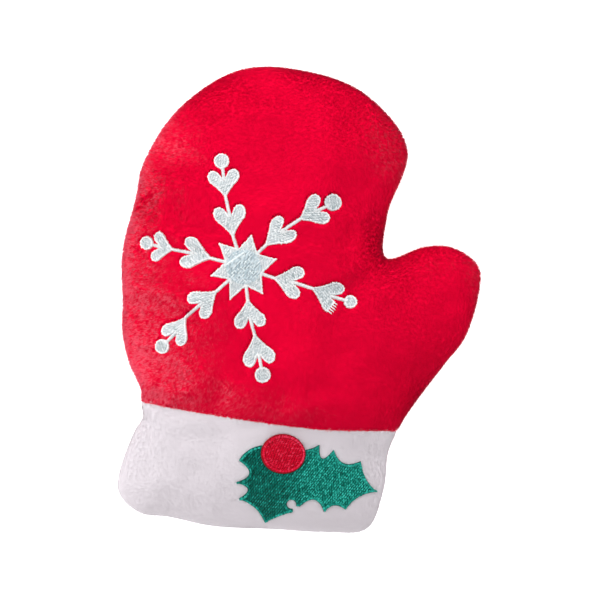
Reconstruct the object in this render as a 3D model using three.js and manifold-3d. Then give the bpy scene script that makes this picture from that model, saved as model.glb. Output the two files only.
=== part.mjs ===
// A closed, stuffed plush mitten lying on its back.
// Millimetres. +Z is up, out of the embroidered front. +Y points to the fingertips, +X to the thumb side.
// The origin is under the middle of the mitten, on the surface that it lies on.
//
// Front and back are two layers of plush sewn together along the outline. Each layer is a red panel
// (hand and thumb in one cut) joined to a white cuff panel along the cuff seam. Fibre filling swells
// them like a cushion: the height over the sewn edge follows a membrane stretched over the outline.

import * as THREE from 'three';
import { mergeVertices } from 'three/addons/utils/BufferGeometryUtils.js';
import Module from 'manifold-3d';

const wasm = await Module();
wasm.setup();

// ---------------------------------------------------------------- driving sizes

const WALL = 2.0;              // plush: backing and pile together
const SEAM_GAP = 0.3;          // clearance between sewn panels
const FILL_GAP = 0.4;          // clearance between the panels and the filling
const THREAD_LIFT = 0.35;      // underside of the embroidery over the plush
const THREAD_TOP = 1.15;       // top of the satin stitches over the plush
const BERRY_TOP = 1.7;         // top of the padded berry
const LINK_WIDTH = 1.75;       // satin line between hearts
const HUB_RADIUS = 6.6;
const STAR_NOTCH_RADIUS = 7.3;

const EDGE_STEP_MIN = 2.4;     // spacing of vertices along the outline, tight curves
const EDGE_STEP_MAX = 5.6;     // and along the long sides
const SKIN_STEP = 8.2;         // spacing of vertices across the panels
const EDGE_RINGS = [1.0, 3.4]; // rings of vertices just inside the outline, where the plush rolls over

// How full each part is: height of the sewn edge over the surface it lies on, and how far
// the front rises and the back drops from that edge at the middle of the part.
const FILLING = {
  hand:  { x: -14, y: 18,  seam_height: 19.5, front_rise: 27.5, back_drop: 25 },
  thumb: { x: 51,  y: 4,   seam_height: 16.0, front_rise: 15.0, back_drop: 15 },
  cuff:  { x: -8,  y: -68, seam_height: 16.0, front_rise: 17.5, back_drop: 19 },
};

// ---------------------------------------------------------------- the cut, clockwise from the fingertips

const HAND_TOP_AND_RIGHT = [
  { place: 'fingertips',        x: -5.6, y: 88.9 },
  { place: 'shoulder',          x: 18.0, y: 82.3 },
  { place: 'right_side',        x: 36.1, y: 62.9 },
  { place: 'above_thumb',       x: 31.1, y: 37.1 },
  { place: 'thumb_crotch',      x: 32.3, y: 20.5 },
];
const THUMB = [
  { place: 'top_edge',          x: 46.9, y: 26.6 },
  { place: 'top_of_tip',        x: 56.9, y: 27.5 },
  { place: 'tip_corner',        x: 66.5, y: 23.0 },
  { place: 'tip',               x: 69.4, y: 18.2 },
  { place: 'outer_side',        x: 66.4, y: -5.9 },
  { place: 'heel',              x: 59.2, y: -18.0 },
  { place: 'root',              x: 46.0, y: -40.0 },
];
const CUFF = [
  { place: 'seam_right',        x: 43.4, y: -47.0 },
  { place: 'right_side_top',    x: 41.4, y: -54.3 },
  { place: 'right_side',        x: 41.2, y: -68.3 },
  { place: 'right_corner',      x: 36.3, y: -84.4 },
  { place: 'bottom_right',      x: 19.3, y: -87.6 },
  { place: 'bottom_middle',     x: 0.3,  y: -88.5 },
  { place: 'bottom_left',       x: -23.5, y: -89.8 },
  { place: 'left_corner_inner', x: -41.0, y: -88.0 },
  { place: 'left_corner',       x: -51.9, y: -87.6 },
  { place: 'left_side_low',     x: -61.5, y: -79.7 },
  { place: 'left_side',         x: -57.8, y: -56.3 },
  { place: 'left_side_top',     x: -55.0, y: -50.3 },
  { place: 'seam_left',         x: -56.0, y: -45.3 },
];
const HAND_LEFT = [
  { place: 'wrist',             x: -56.0, y: -40.2 },
  { place: 'heel_of_hand',      x: -61.6, y: -30.1 },
  { place: 'lower_left',        x: -65.5, y: -18.6 },
  { place: 'middle_left',       x: -66.6, y: -6.5 },
  { place: 'widest',            x: -68.7, y: 11.5 },
  { place: 'pinch',             x: -65.7, y: 34.3 },
  { place: 'dip_below_pinch',   x: -64.5, y: 46.3 },
  { place: 'upper_left',        x: -52.8, y: 69.5 },
  { place: 'left_of_fingertips', x: -31.5, y: 86.6 },
];

// The cuff seam across the front and the back, left to right.
const CUFF_SEAM = [
  { place: 'left_edge',  x: -55.9, y: -44.0 },
  { place: 'left_rise',  x: -47.5, y: -44.6 },
  { place: 'left_third', x: -32.5, y: -45.4 },
  { place: 'middle',     x: -10.5, y: -46.4 },
  { place: 'right_third', x: 14.1, y: -46.9 },
  { place: 'near_right', x: 29.0,  y: -45.9 },
  { place: 'right_edge', x: 43.6,  y: -45.1 },
];

// Dents in the swollen surface: each is a groove about its middle point, along its heading (degrees).
const FOLDS = [
  { name: 'thumb_crotch_pull', x: 27,  y: 13,  heading: 228, half_length: 15, half_width: 5,   depth: 3.6 },
  { name: 'thumb_base_fold',   x: 41,  y: 4,   heading: 262, half_length: 14, half_width: 5,   depth: 0.5 },
  { name: 'left_pinch',        x: -61.5, y: 30.8, heading: 40, half_length: 5.5, half_width: 1.9, depth: 3.6 },
  { name: 'seam_pull_left',    x: -50, y: -40, heading: 65,  half_length: 7,  half_width: 3,   depth: 1.2 },
  { name: 'seam_pull_right',   x: 38,  y: -41, heading: 110, half_length: 7,  half_width: 3,   depth: 1.2 },
];
// The cuff seam draws the plush in along its whole length.
const SEAM_VALLEY = { depth: 1.8, half_width_hand: 4.5, half_width_cuff: 4 };

// ---------------------------------------------------------------- embroidery

const SNOWFLAKE = { x: -21.2, y: 11.0 };
// r and at place each heart's point round the middle of the snowflake; axis is the way it opens.
const HEARTS = [
  { arm: 1, ring: 'inner', r: 11.1, at: 117,  axis: 104,  length: 12.9, width: 12.6 },
  { arm: 1, ring: 'outer', r: 26.3, at: 111,  axis: 102,  length: 11.4, width: 12.4 },
  { arm: 2, ring: 'inner', r: 10.1, at: 51,   axis: 48,   length: 13.4, width: 11.6 },
  { arm: 2, ring: 'outer', r: 26.5, at: 47,   axis: 34,   length: 11.9, width: 12.2 },
  { arm: 3, ring: 'inner', r: 10.9, at: -15,  axis: -6,   length: 12.2, width: 12.6 },
  { arm: 3, ring: 'outer', r: 25.7, at: -11,  axis: -17,  length: 12.8, width: 12.2 },
  { arm: 4, ring: 'inner', r: 11.3, at: -77,  axis: -78,  length: 11.8, width: 12.3 },
  { arm: 4, ring: 'outer', r: 24.5, at: -75,  axis: -73,  length: 12.9, width: 12.5 },
  { arm: 5, ring: 'inner', r: 12.7, at: -132, axis: -135, length: 12.0, width: 11.8 },
  { arm: 5, ring: 'outer', r: 27.9, at: -134, axis: -117, length: 11.7, width: 11.0 },
  { arm: 6, ring: 'inner', r: 11.7, at: 171,  axis: 171,  length: 12.6, width: 12.4 },
  { arm: 6, ring: 'outer', r: 26.9, at: 172,  axis: 175,  length: 9.0,  width: 11.8 },
];
const DOTS = [
  { arm: 1, r: 40.8, at: 108,  radius: 3.1 },
  { arm: 2, r: 41.4, at: 42,   radius: 3.4 },
  { arm: 3, r: 42.1, at: -12,  radius: 2.7 },
  { arm: 4, r: 41.0, at: -74,  radius: 3.2 },
  { arm: 5, r: 43.1, at: -130, radius: 3.0 },
  { arm: 6, r: 38.3, at: 172,  radius: 2.8 },
];
const STAR_SPIKES = [
  { at: 19,   r: 12.9 },
  { at: 82,   r: 12.6 },
  { at: 142,  r: 13.3 },
  { at: 201,  r: 13.1 },
  { at: 253,  r: 13.7 },
  { at: 311,  r: 12.7 },
];

const BERRY = { x: 0.7, y: -57.5, rx: 8.3, ry: 7.5 };
const BITE = { x: 5.9, y: -76.8, radius: 1.9 };   // round bite between the two leaves
// Holly leaves, counter-clockwise. bow is how far the edge to the next row swells out (or bites in, if below 0).
const LEAF_LEFT = [
  { at: 'under_berry', x: 0.6,   y: -62.0, bow: 0 },
  { at: 'beside_berry', x: -6.8, y: -55.2, bow: 1.4 },
  { at: 'spike',       x: -15.6, y: -61.9, bow: -4.6 },
  { at: 'spike',       x: -15.9, y: -70.5, bow: -4.1 },
  { at: 'spike',       x: -14.3, y: -76.8, bow: -1.8 },
  { at: 'tip',         x: -3.5,  y: -85.2, bow: -0.5 },
  { at: 'bite_foot',   x: 6.8,   y: -79.7, bow: 0 },
  { at: 'bite',        x: 5.7,   y: -76.8, bow: 0 },
];
const LEAF_RIGHT = [
  { at: 'under_berry', x: 1.0,   y: -62.0, bow: 0 },
  { at: 'bite',        x: 6.1,   y: -76.8, bow: 0 },
  { at: 'spike',       x: 9.1,   y: -77.3, bow: -3.9 },
  { at: 'spike',       x: 18.6,  y: -78.6, bow: -2.2 },
  { at: 'spike',       x: 26.6,  y: -76.9, bow: -1.9 },
  { at: 'tip',         x: 37.9,  y: -69.2, bow: -1.4 },
  { at: 'spike',       x: 30.4,  y: -57.8, bow: -3.2 },
  { at: 'spike',       x: 19.6,  y: -54.3, bow: -4.6 },
  { at: 'spike',       x: 14.0,  y: -52.9, bow: -0.5 },
  { at: 'beside_berry', x: 7.6,  y: -55.7, bow: 0 },
];

// ---------------------------------------------------------------- the outline

const rad = THREE.MathUtils.degToRad;
const flat = (row) => new THREE.Vector3(row.x, row.y, 0);

const loop = new THREE.CatmullRomCurve3(
  [...HAND_TOP_AND_RIGHT, ...THUMB, ...CUFF, ...HAND_LEFT].map(flat), true, 'centripetal');
const FINE = 4000;
const fine = loop.getPoints(FINE).slice(0, FINE);
const box = new THREE.Box3().setFromPoints(fine);
const MIDDLE = { x: (box.min.x + box.max.x) / 2, y: (box.min.y + box.max.y) / 2 };

function nearestIndex(p) {
  let best = 0, far = Infinity;
  fine.forEach((q, i) => { const d = q.distanceToSquared(p); if (d < far) { far = d; best = i; } });
  return best;
}
// Radius of the outline's bend at a fine point.
function bendRadius(i) {
  const w = 40;
  const a = fine[(i - w + FINE) % FINE], b = fine[i % FINE], c = fine[(i + w) % FINE];
  const ab = b.clone().sub(a), bc = c.clone().sub(b);
  const turn = Math.abs(ab.angleTo(bc));
  return turn < 1e-4 ? 1e4 : (ab.length() + bc.length()) / 2 / turn;
}
// Points along the outline from one fine index to another, closer where it bends.
function edgeStations(from, to) {
  const span = (to - from + FINE) % FINE;
  let weight = 0;
  const sums = [0];
  for (let s = 1; s <= span; s++) {
    const i = (from + s) % FINE;
    const step = THREE.MathUtils.clamp(0.42 * bendRadius(i), EDGE_STEP_MIN, EDGE_STEP_MAX);
    weight += fine[i].distanceTo(fine[(i - 1 + FINE) % FINE]) / step;
    sums.push(weight);
  }
  const count = Math.round(weight);
  const out = [];
  let s = 0;
  for (let n = 0; n <= count; n++) {
    while (s < span && sums[s] < (n / count) * weight) s++;
    out.push(fine[(from + s) % FINE].clone());
  }
  return out;
}

const seamCurve = new THREE.CatmullRomCurve3(CUFF_SEAM.map(flat), false, 'centripetal');
const seamLeft = nearestIndex(flat(CUFF_SEAM[0]));
const seamRight = nearestIndex(flat(CUFF_SEAM[CUFF_SEAM.length - 1]));

// Fine index a given length away along the outline.
function slide(i, length) {
  const step = Math.sign(length);
  let left = Math.abs(length);
  while (left > 0) {
    const j = (i + step + FINE) % FINE;
    left -= fine[i].distanceTo(fine[j]);
    i = j;
  }
  return i;
}
// The loop runs clockwise: right side of the hand, then the cuff, then the left side.
const half = SEAM_GAP / 2;
const cuffEdge = edgeStations(slide(seamRight, half), slide(seamLeft, -half));
const handEdge = edgeStations(slide(seamLeft, half), slide(seamRight, -half));

// The seam's stations, shared by both sides and pushed apart by the gap.
const seamCount = 17;
const seamMid = seamCurve.getSpacedPoints(seamCount + 1).slice(1, -1);
const seamAcross = seamMid.map((_, i) => {
  const t = seamCurve.getTangentAt((i + 1) / (seamCount + 1));
  return new THREE.Vector3(-t.y, t.x, 0);
});

// ---------------------------------------------------------------- flat net of the whole front

const nodes = [];            // { x, y, kind, pair }
const addNode = (p, kind, extra = {}) => { nodes.push({ x: p.x, y: p.y, kind, ...extra }); return nodes.length - 1; };

const handEdgeIds = handEdge.map((p) => addNode(p, 'edge', { side: 'hand' }));
const cuffEdgeIds = cuffEdge.map((p) => addNode(p, 'edge', { side: 'cuff' }));
const seamHandIds = seamMid.map((p, i) => addNode(p.clone().addScaledVector(seamAcross[i], half), 'seam', { side: 'hand' }));
const seamCuffIds = seamMid.map((p, i) => addNode(p.clone().addScaledVector(seamAcross[i], -half), 'seam', { side: 'cuff' }));
seamHandIds.forEach((id, i) => { nodes[id].pair = seamCuffIds[i]; nodes[seamCuffIds[i]].pair = id; });

const ring = [...handEdgeIds, ...cuffEdgeIds];   // the closed outline, clockwise
const outline = ring.map((id) => nodes[id]);

function insideLoop(x, y, poly) {
  let inside = false;
  for (let i = 0, j = poly.length - 1; i < poly.length; j = i++) {
    const a = poly[i], b = poly[j];
    if ((a.y > y) !== (b.y > y) && x < ((b.x - a.x) * (y - a.y)) / (b.y - a.y) + a.x) inside = !inside;
  }
  return inside;
}
function distanceToPath(x, y, path, closed) {
  let best = Infinity;
  const n = path.length - (closed ? 0 : 1);
  for (let i = 0; i < n; i++) {
    const a = path[i], b = path[(i + 1) % path.length];
    const dx = b.x - a.x, dy = b.y - a.y;
    const t = THREE.MathUtils.clamp(((x - a.x) * dx + (y - a.y) * dy) / (dx * dx + dy * dy), 0, 1);
    best = Math.min(best, Math.hypot(x - a.x - t * dx, y - a.y - t * dy));
  }
  return best;
}
const seamPath = [handEdge[0], ...seamMid, handEdge[handEdge.length - 1]];

// Outward normal of the outline at each edge vertex.
ring.forEach((id, i) => {
  const a = outline[(i - 1 + ring.length) % ring.length], b = outline[(i + 1) % ring.length];
  const n = new THREE.Vector2(-(b.y - a.y), b.x - a.x).normalize();
  nodes[id].out = n;
});
// Both sides of a seam end share one direction, so that their walls stay parallel.
for (const [h, c] of [[handEdgeIds[0], cuffEdgeIds[cuffEdgeIds.length - 1]], [handEdgeIds[handEdgeIds.length - 1], cuffEdgeIds[0]]]) {
  const n = nodes[h].out.clone().add(nodes[c].out).normalize();
  nodes[h].out = n;
  nodes[c].out = n.clone();
  nodes[h].pair = c;
  nodes[c].pair = h;
}

function clearOf(x, y, gap, from) {
  for (let i = from; i < nodes.length; i++) if (Math.hypot(nodes[i].x - x, nodes[i].y - y) < gap) return false;
  return true;
}
const SEAM_CLEAR = 3.2;
let ringStart = nodes.length;
for (const inset of EDGE_RINGS) {
  ring.forEach((id) => {
    const x = nodes[id].x - nodes[id].out.x * inset, y = nodes[id].y - nodes[id].out.y * inset;
    if (!insideLoop(x, y, outline)) return;
    if (distanceToPath(x, y, outline, true) < inset * 0.93) return;
    const nearSeam = distanceToPath(x, y, seamPath, false);
    if (nearSeam < Math.min(SEAM_CLEAR, 1.1 + inset * 0.55)) return;
    if (!clearOf(x, y, Math.max(1.3, inset * 0.62), ringStart)) return;
    addNode({ x, y }, 'skin');
  });
}
const rowStep = SKIN_STEP * Math.sqrt(3) / 2;
ringStart = 0;
let row = 0;
for (let y = box.min.y; y < box.max.y; y += rowStep, row++) {
  for (let x = box.min.x + (row % 2 ? SKIN_STEP / 2 : 0); x < box.max.x; x += SKIN_STEP) {
    if (!insideLoop(x, y, outline)) continue;
    if (distanceToPath(x, y, outline, true) < EDGE_RINGS[EDGE_RINGS.length - 1] + 3.0) continue;
    if (distanceToPath(x, y, seamPath, false) < SEAM_CLEAR) continue;
    if (!clearOf(x, y, SKIN_STEP * 0.5, 0)) continue;
    addNode({ x, y }, 'skin');
  }
}

// Delaunay net over the nodes, kept inside the outline.
function delaunay(pts) {
  const n = pts.length;
  const big = 1000;
  const all = [...pts.map((p) => [p.x, p.y]), [-3 * big, -2 * big], [3 * big, -2 * big], [0, 4 * big]];
  const circle = (a, b, c) => {
    const [ax, ay] = all[a], [bx, by] = all[b], [cx, cy] = all[c];
    const d = 2 * (ax * (by - cy) + bx * (cy - ay) + cx * (ay - by));
    const ux = ((ax * ax + ay * ay) * (by - cy) + (bx * bx + by * by) * (cy - ay) + (cx * cx + cy * cy) * (ay - by)) / d;
    const uy = ((ax * ax + ay * ay) * (cx - bx) + (bx * bx + by * by) * (ax - cx) + (cx * cx + cy * cy) * (bx - ax)) / d;
    return { a, b, c, ux, uy, rr: (ax - ux) ** 2 + (ay - uy) ** 2 };
  };
  let tris = [circle(n, n + 1, n + 2)];
  for (let i = 0; i < n; i++) {
    const [x, y] = all[i];
    const edges = new Map();
    const keep = [];
    for (const t of tris) {
      if ((x - t.ux) ** 2 + (y - t.uy) ** 2 < t.rr - 1e-9) {
        for (const [p, q] of [[t.a, t.b], [t.b, t.c], [t.c, t.a]]) {
          const key = p < q ? p * 65536 + q : q * 65536 + p;
          if (edges.has(key)) edges.set(key, null); else edges.set(key, [p, q]);
        }
      } else keep.push(t);
    }
    tris = keep;
    for (const e of edges.values()) if (e) tris.push(circle(e[0], e[1], i));
  }
  return tris.filter((t) => t.a < n && t.b < n && t.c < n).map((t) => {
    const [A, B, C] = [all[t.a], all[t.b], all[t.c]];
    const turn = (B[0] - A[0]) * (C[1] - A[1]) - (B[1] - A[1]) * (C[0] - A[0]);
    return turn > 0 ? [t.a, t.b, t.c] : [t.a, t.c, t.b];
  });
}
const handLoop = [...handEdge, ...seamHandIds.map((id) => nodes[id]).reverse()];
const cuffLoop = [...cuffEdge, ...seamCuffIds.map((id) => nodes[id])];
const net = delaunay(nodes).filter(([a, b, c]) => {
  const x = (nodes[a].x + nodes[b].x + nodes[c].x) / 3, y = (nodes[a].y + nodes[b].y + nodes[c].y) / 3;
  return insideLoop(x, y, outline);
});
const centreOf = ([a, b, c]) => [(nodes[a].x + nodes[b].x + nodes[c].x) / 3, (nodes[a].y + nodes[b].y + nodes[c].y) / 3];
const handNet = net.filter((t) => insideLoop(...centreOf(t), handLoop));
const cuffNet = net.filter((t) => insideLoop(...centreOf(t), cuffLoop));

// ---------------------------------------------------------------- how far the filling swells it

// A membrane under even pressure, held at the outline: each node rests at the weighted mean of its
// neighbours plus its share of the load.
const rest = nodes.map(() => 0);
const load = nodes.map(() => 0);
const links = nodes.map(() => new Map());
for (const t of net) {
  const p = t.map((i) => new THREE.Vector2(nodes[i].x, nodes[i].y));
  const area = Math.abs((p[1].x - p[0].x) * (p[2].y - p[0].y) - (p[1].y - p[0].y) * (p[2].x - p[0].x)) / 2;
  for (let k = 0; k < 3; k++) {
    const o = t[k], i = t[(k + 1) % 3], j = t[(k + 2) % 3];
    const u = p[(k + 1) % 3].clone().sub(p[k]), v = p[(k + 2) % 3].clone().sub(p[k]);
    const cot = u.dot(v) / (2 * area);
    links[i].set(j, (links[i].get(j) ?? 0) + cot / 2);
    links[j].set(i, (links[j].get(i) ?? 0) + cot / 2);
    load[o] += area / 3;
  }
}
for (let pass = 0; pass < 700; pass++) {
  for (let i = 0; i < nodes.length; i++) {
    if (nodes[i].kind === 'edge') continue;
    let sum = load[i], weight = 0;
    for (const [j, w] of links[i]) { sum += w * rest[j]; weight += w; }
    rest[i] += 1.75 * (sum / weight - rest[i]);
  }
}
function membraneAt(x, y) {
  let best = 0, far = Infinity;
  nodes.forEach((n, i) => { const d = Math.hypot(n.x - x, n.y - y); if (d < far) { far = d; best = i; } });
  return Math.sqrt(rest[best]);
}
const smooth = (t) => { t = THREE.MathUtils.clamp(t, 0, 1); return t * t * (3 - 2 * t); };
const cuffShare = (x, y) => smooth((-34 - y) / 22);
const thumbShare = (x, y) => smooth((x - 26) / 26) * smooth((y + 44) / 20) * smooth((36 - y) / 10);
const mix = (key, x, y) => {
  const c = cuffShare(x, y), t = thumbShare(x, y);
  const hand = FILLING.hand[key], cuff = FILLING.cuff[key], thumb = FILLING.thumb[key];
  return (hand * (1 - t) + thumb * t) * (1 - c) + cuff * c;
};
for (const part of Object.values(FILLING)) {
  const m = membraneAt(part.x, part.y);
  part.front = part.front_rise / m;
  part.back = part.back_drop / m;
}

// Dents as a share of the full rise, so that they fade out at the sewn edge.
function dent(x, y) {
  let d = 0;
  for (const f of FOLDS) {
    const c = Math.cos(rad(f.heading)), s = Math.sin(rad(f.heading));
    const along = (x - f.x) * c + (y - f.y) * s, across = -(x - f.x) * s + (y - f.y) * c;
    d += f.depth * Math.exp(-((along / f.half_length) ** 2) - (across / f.half_width) ** 2);
  }
  return d;
}
function valley(x, y) {
  const d = distanceToPath(x, y, seamPath, false);
  const above = y > seamPath[Math.floor(seamPath.length / 2)].y;
  const w = above ? SEAM_VALLEY.half_width_hand : SEAM_VALLEY.half_width_cuff;
  return SEAM_VALLEY.depth * Math.exp(-((d / w) ** 1.5));
}

const LIE_BLEND = 2.2;       // how softly the back leaves the surface it lies on
const lieFlat = (z) => (z <= -LIE_BLEND ? 0 : z >= LIE_BLEND ? z : ((z + LIE_BLEND) ** 2) / (4 * LIE_BLEND));

const front = [], back = [], middle = [];
nodes.forEach((n, i) => {
  const m = Math.sqrt(Math.max(rest[i], 0));
  const zs = mix('seam_height', n.x, n.y);
  const rise = mix('front', n.x, n.y) * m, drop = mix('back', n.x, n.y) * m;
  const dip = (dent(n.x, n.y) + valley(n.x, n.y)) * smooth(rise / 12);
  const dipBack = valley(n.x, n.y) * 0.8 * smooth(drop / 12);
  middle.push(new THREE.Vector3(n.x - MIDDLE.x, n.y - MIDDLE.y, zs));
  front.push(new THREE.Vector3(n.x - MIDDLE.x, n.y - MIDDLE.y, zs + Math.max(rise - dip, 0) + half));
  back.push(new THREE.Vector3(n.x - MIDDLE.x, n.y - MIDDLE.y, lieFlat(zs - Math.max(drop - dipBack, 0) - half)));
});

// Outward normals: of the skin inside, level at the sewn edge, shared across the cuff seam.
function skinNormals(points, sign) {
  const normals = points.map(() => new THREE.Vector3());
  const ab = new THREE.Vector3(), ac = new THREE.Vector3();
  for (const net3 of [handNet, cuffNet]) {
    for (const [a, b, c] of net3) {
      ab.subVectors(points[b], points[a]);
      ac.subVectors(points[c], points[a]);
      const n = ab.clone().cross(ac).multiplyScalar(sign);
      for (const i of [a, b, c]) normals[i].add(n);
    }
  }
  nodes.forEach((n, i) => { if (n.kind === 'edge') normals[i].set(n.out.x, n.out.y, 0); });
  const out = normals.map((n) => n.clone().normalize());
  nodes.forEach((n, i) => {
    if (n.pair !== undefined) out[i] = normals[i].clone().normalize().add(normals[n.pair].clone().normalize()).normalize();
  });
  return out;
}
const frontNormals = skinNormals(front, 1);
const backNormals = skinNormals(back, -1);
const offset = (points, normals, d) => points.map((p, i) => p.clone().addScaledVector(normals[i], d));

// ---------------------------------------------------------------- solids

// A closed wall between an outer and an inner skin over the same net.
function wallGeometry(net3, outer, inner, sign) {
  const used = [...new Set(net3.flat())];
  const at = new Map(used.map((id, i) => [id, i]));
  const m = used.length;
  const positions = [];
  for (const skin of [outer, inner]) for (const id of used) positions.push(skin[id].x, skin[id].y, skin[id].z);
  const index = [];
  const open = new Map();
  for (const [a, b, c] of net3) {
    const t = sign > 0 ? [a, b, c] : [a, c, b];
    const [p, q, r] = t.map((id) => at.get(id));
    index.push(p, q, r, p + m, r + m, q + m);
    for (const [u, v] of [[p, q], [q, r], [r, p]]) {
      if (open.has(`${v},${u}`)) open.delete(`${v},${u}`); else open.set(`${u},${v}`, [u, v]);
    }
  }
  for (const [u, v] of open.values()) index.push(v, u, u + m, v, u + m, v + m);
  const g = new THREE.BufferGeometry();
  g.setAttribute('position', new THREE.Float32BufferAttribute(positions, 3));
  g.setIndex(index);
  return g;
}
function toSolid(geometry) {
  const g = geometry.clone();
  g.deleteAttribute('normal');
  g.deleteAttribute('uv');
  const merged = mergeVertices(g, 1e-4);
  return new wasm.Manifold(new wasm.Mesh({
    numProp: 3,
    vertProperties: new Float32Array(merged.attributes.position.array),
    triVerts: new Uint32Array(merged.index.array),
  }));
}
function toGeometry(solid) {
  const mesh = solid.getMesh();
  const g = new THREE.BufferGeometry();
  g.setAttribute('position', new THREE.Float32BufferAttribute(Array.from(mesh.vertProperties), 3));
  g.setIndex(Array.from(mesh.triVerts));
  return g;
}

// The filling: both skins moved in, joined at the outline.
function fillingGeometry() {
  const d = WALL + FILL_GAP;
  const top = offset(front, frontNormals, -d), bottom = offset(back, backNormals, -d);
  const n = nodes.length;
  const positions = [];
  for (const skin of [top, bottom]) {
    skin.forEach((p, i) => positions.push(p.x, p.y, nodes[i].kind === 'edge' ? middle[i].z : p.z));
  }
  const under = (i) => (nodes[i].kind === 'edge' ? i : i + n);
  const index = [];
  for (const [a, b, c] of net) index.push(a, b, c, under(a), under(c), under(b));
  const g = new THREE.BufferGeometry();
  g.setAttribute('position', new THREE.Float32BufferAttribute(positions, 3));
  g.setIndex(index);
  return mergeVertices(g, 1e-4);
}

// ---------------------------------------------------------------- embroidery outlines

const PRISM = { depth: 90, bevelEnabled: false, curveSegments: 6 };
const prismOf = (shape) => {
  const g = new THREE.ExtrudeGeometry(shape, PRISM);
  g.translate(-MIDDLE.x, -MIDDLE.y, -10);
  return toSolid(g);
};
const polar = (r, at) => new THREE.Vector2(SNOWFLAKE.x + r * Math.cos(rad(at)), SNOWFLAKE.y + r * Math.sin(rad(at)));

// A heart with its point at p, opening along axis.
function heart(p, axis, length, width) {
  const c = Math.cos(rad(axis)), s = Math.sin(rad(axis));
  const q = (u, v) => [p.x + u * length * c - v * width * s, p.y + u * length * s + v * width * c];
  const shape = new THREE.Shape();
  shape.moveTo(...q(-0.02, 0));
  shape.bezierCurveTo(...q(0.16, -0.07), ...q(0.34, -0.20), ...q(0.56, -0.42));
  shape.bezierCurveTo(...q(0.74, -0.58), ...q(1.02, -0.50), ...q(1.0, -0.29));
  shape.bezierCurveTo(...q(0.99, -0.15), ...q(0.82, -0.08), ...q(0.66, 0));
  shape.bezierCurveTo(...q(0.82, 0.08), ...q(0.99, 0.15), ...q(1.0, 0.29));
  shape.bezierCurveTo(...q(1.02, 0.50), ...q(0.74, 0.58), ...q(0.56, 0.42));
  shape.bezierCurveTo(...q(0.34, 0.20), ...q(0.16, 0.07), ...q(-0.02, 0));
  return shape;
}
const disc = (x, y, rx, ry = rx) => {
  const shape = new THREE.Shape();
  const n = 20;
  for (let i = 0; i < n; i++) {
    const a = (i / n) * Math.PI * 2;
    if (i) shape.lineTo(x + rx * Math.cos(a), y + ry * Math.sin(a)); else shape.moveTo(x + rx, y);
  }
  shape.closePath();
  return shape;
};
// A straight satin line of the link width.
function bar(a, b) {
  const d = b.clone().sub(a).normalize().multiplyScalar(LINK_WIDTH / 2);
  const n = new THREE.Vector2(-d.y, d.x);
  const shape = new THREE.Shape();
  const corners = [a.clone().add(n), a.clone().sub(n), b.clone().sub(n), b.clone().add(n)];
  corners.forEach((p, i) => (i ? shape.lineTo(p.x, p.y) : shape.moveTo(p.x, p.y)));
  shape.closePath();
  return shape;
}
function star(grow) {
  const shape = new THREE.Shape();
  STAR_SPIKES.forEach((spike, i) => {
    const next = STAR_SPIKES[(i + 1) % STAR_SPIKES.length];
    const gap = (next.at - spike.at + 360) % 360;
    const tip = polar(spike.r + grow * 2.2, spike.at), notch = polar(STAR_NOTCH_RADIUS + grow, spike.at + gap / 2);
    if (i) shape.lineTo(tip.x, tip.y); else shape.moveTo(tip.x, tip.y);
    shape.lineTo(notch.x, notch.y);
  });
  shape.closePath();
  return shape;
}
function leaf(rows) {
  const shape = new THREE.Shape();
  rows.forEach((a, i) => {
    const b = rows[(i + 1) % rows.length];
    if (!i) shape.moveTo(a.x, a.y);
    const out = new THREE.Vector2(b.y - a.y, -(b.x - a.x)).normalize().multiplyScalar(2 * a.bow);
    if (a.bow) shape.quadraticCurveTo((a.x + b.x) / 2 + out.x, (a.y + b.y) / 2 + out.y, b.x, b.y);
    else shape.lineTo(b.x, b.y);
  });
  return shape;
}

// Thin slabs of stitching that follow the swollen plush.
const slab = (net3, low, high) => toSolid(wallGeometry(net3, offset(front, frontNormals, high), offset(front, frontNormals, low), 1));
const handThread = slab(handNet, THREAD_LIFT, THREAD_TOP);
const cuffThread = slab(cuffNet, THREAD_LIFT, THREAD_TOP);
const cuffBerryThread = slab(cuffNet, THREAD_LIFT, BERRY_TOP);

const hubSolid = prismOf(disc(SNOWFLAKE.x, SNOWFLAKE.y, HUB_RADIUS));
const hubRoom = prismOf(disc(SNOWFLAKE.x, SNOWFLAKE.y, HUB_RADIUS + SEAM_GAP));
const starSolid = prismOf(star(0)).subtract(hubRoom);
const starRoom = prismOf(star(SEAM_GAP * 1.25)).add(hubRoom);

function armSolid(number) {
  const [inner, outer] = ['inner', 'outer'].map((r) => HEARTS.find((h) => h.arm === number && h.ring === r));
  const dot = DOTS.find((d) => d.arm === number);
  const point = (h) => polar(h.r, h.at);
  const along = (h, share) => point(h).add(new THREE.Vector2(Math.cos(rad(h.axis)), Math.sin(rad(h.axis))).multiplyScalar(h.length * share));
  const centre = polar(dot.r, dot.at);
  return prismOf(heart(point(inner), inner.axis, inner.length, inner.width))
    .add(prismOf(heart(point(outer), outer.axis, outer.length, outer.width)))
    .add(prismOf(disc(centre.x, centre.y, dot.radius)))
    .add(prismOf(bar(polar(5, inner.at), along(inner, 0.2))))
    .add(prismOf(bar(along(inner, 0.55), along(outer, 0.2))))
    .add(prismOf(bar(along(outer, 0.55), centre)))
    .subtract(starRoom);
}

const berryRoom = prismOf(disc(BERRY.x, BERRY.y, BERRY.rx + SEAM_GAP, BERRY.ry + SEAM_GAP));
const biteRoom = prismOf(disc(BITE.x, BITE.y, BITE.radius));
const leafSolid = (rows) => prismOf(leaf(rows)).subtract(berryRoom).subtract(biteRoom);

// ---------------------------------------------------------------- the mitten

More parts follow.
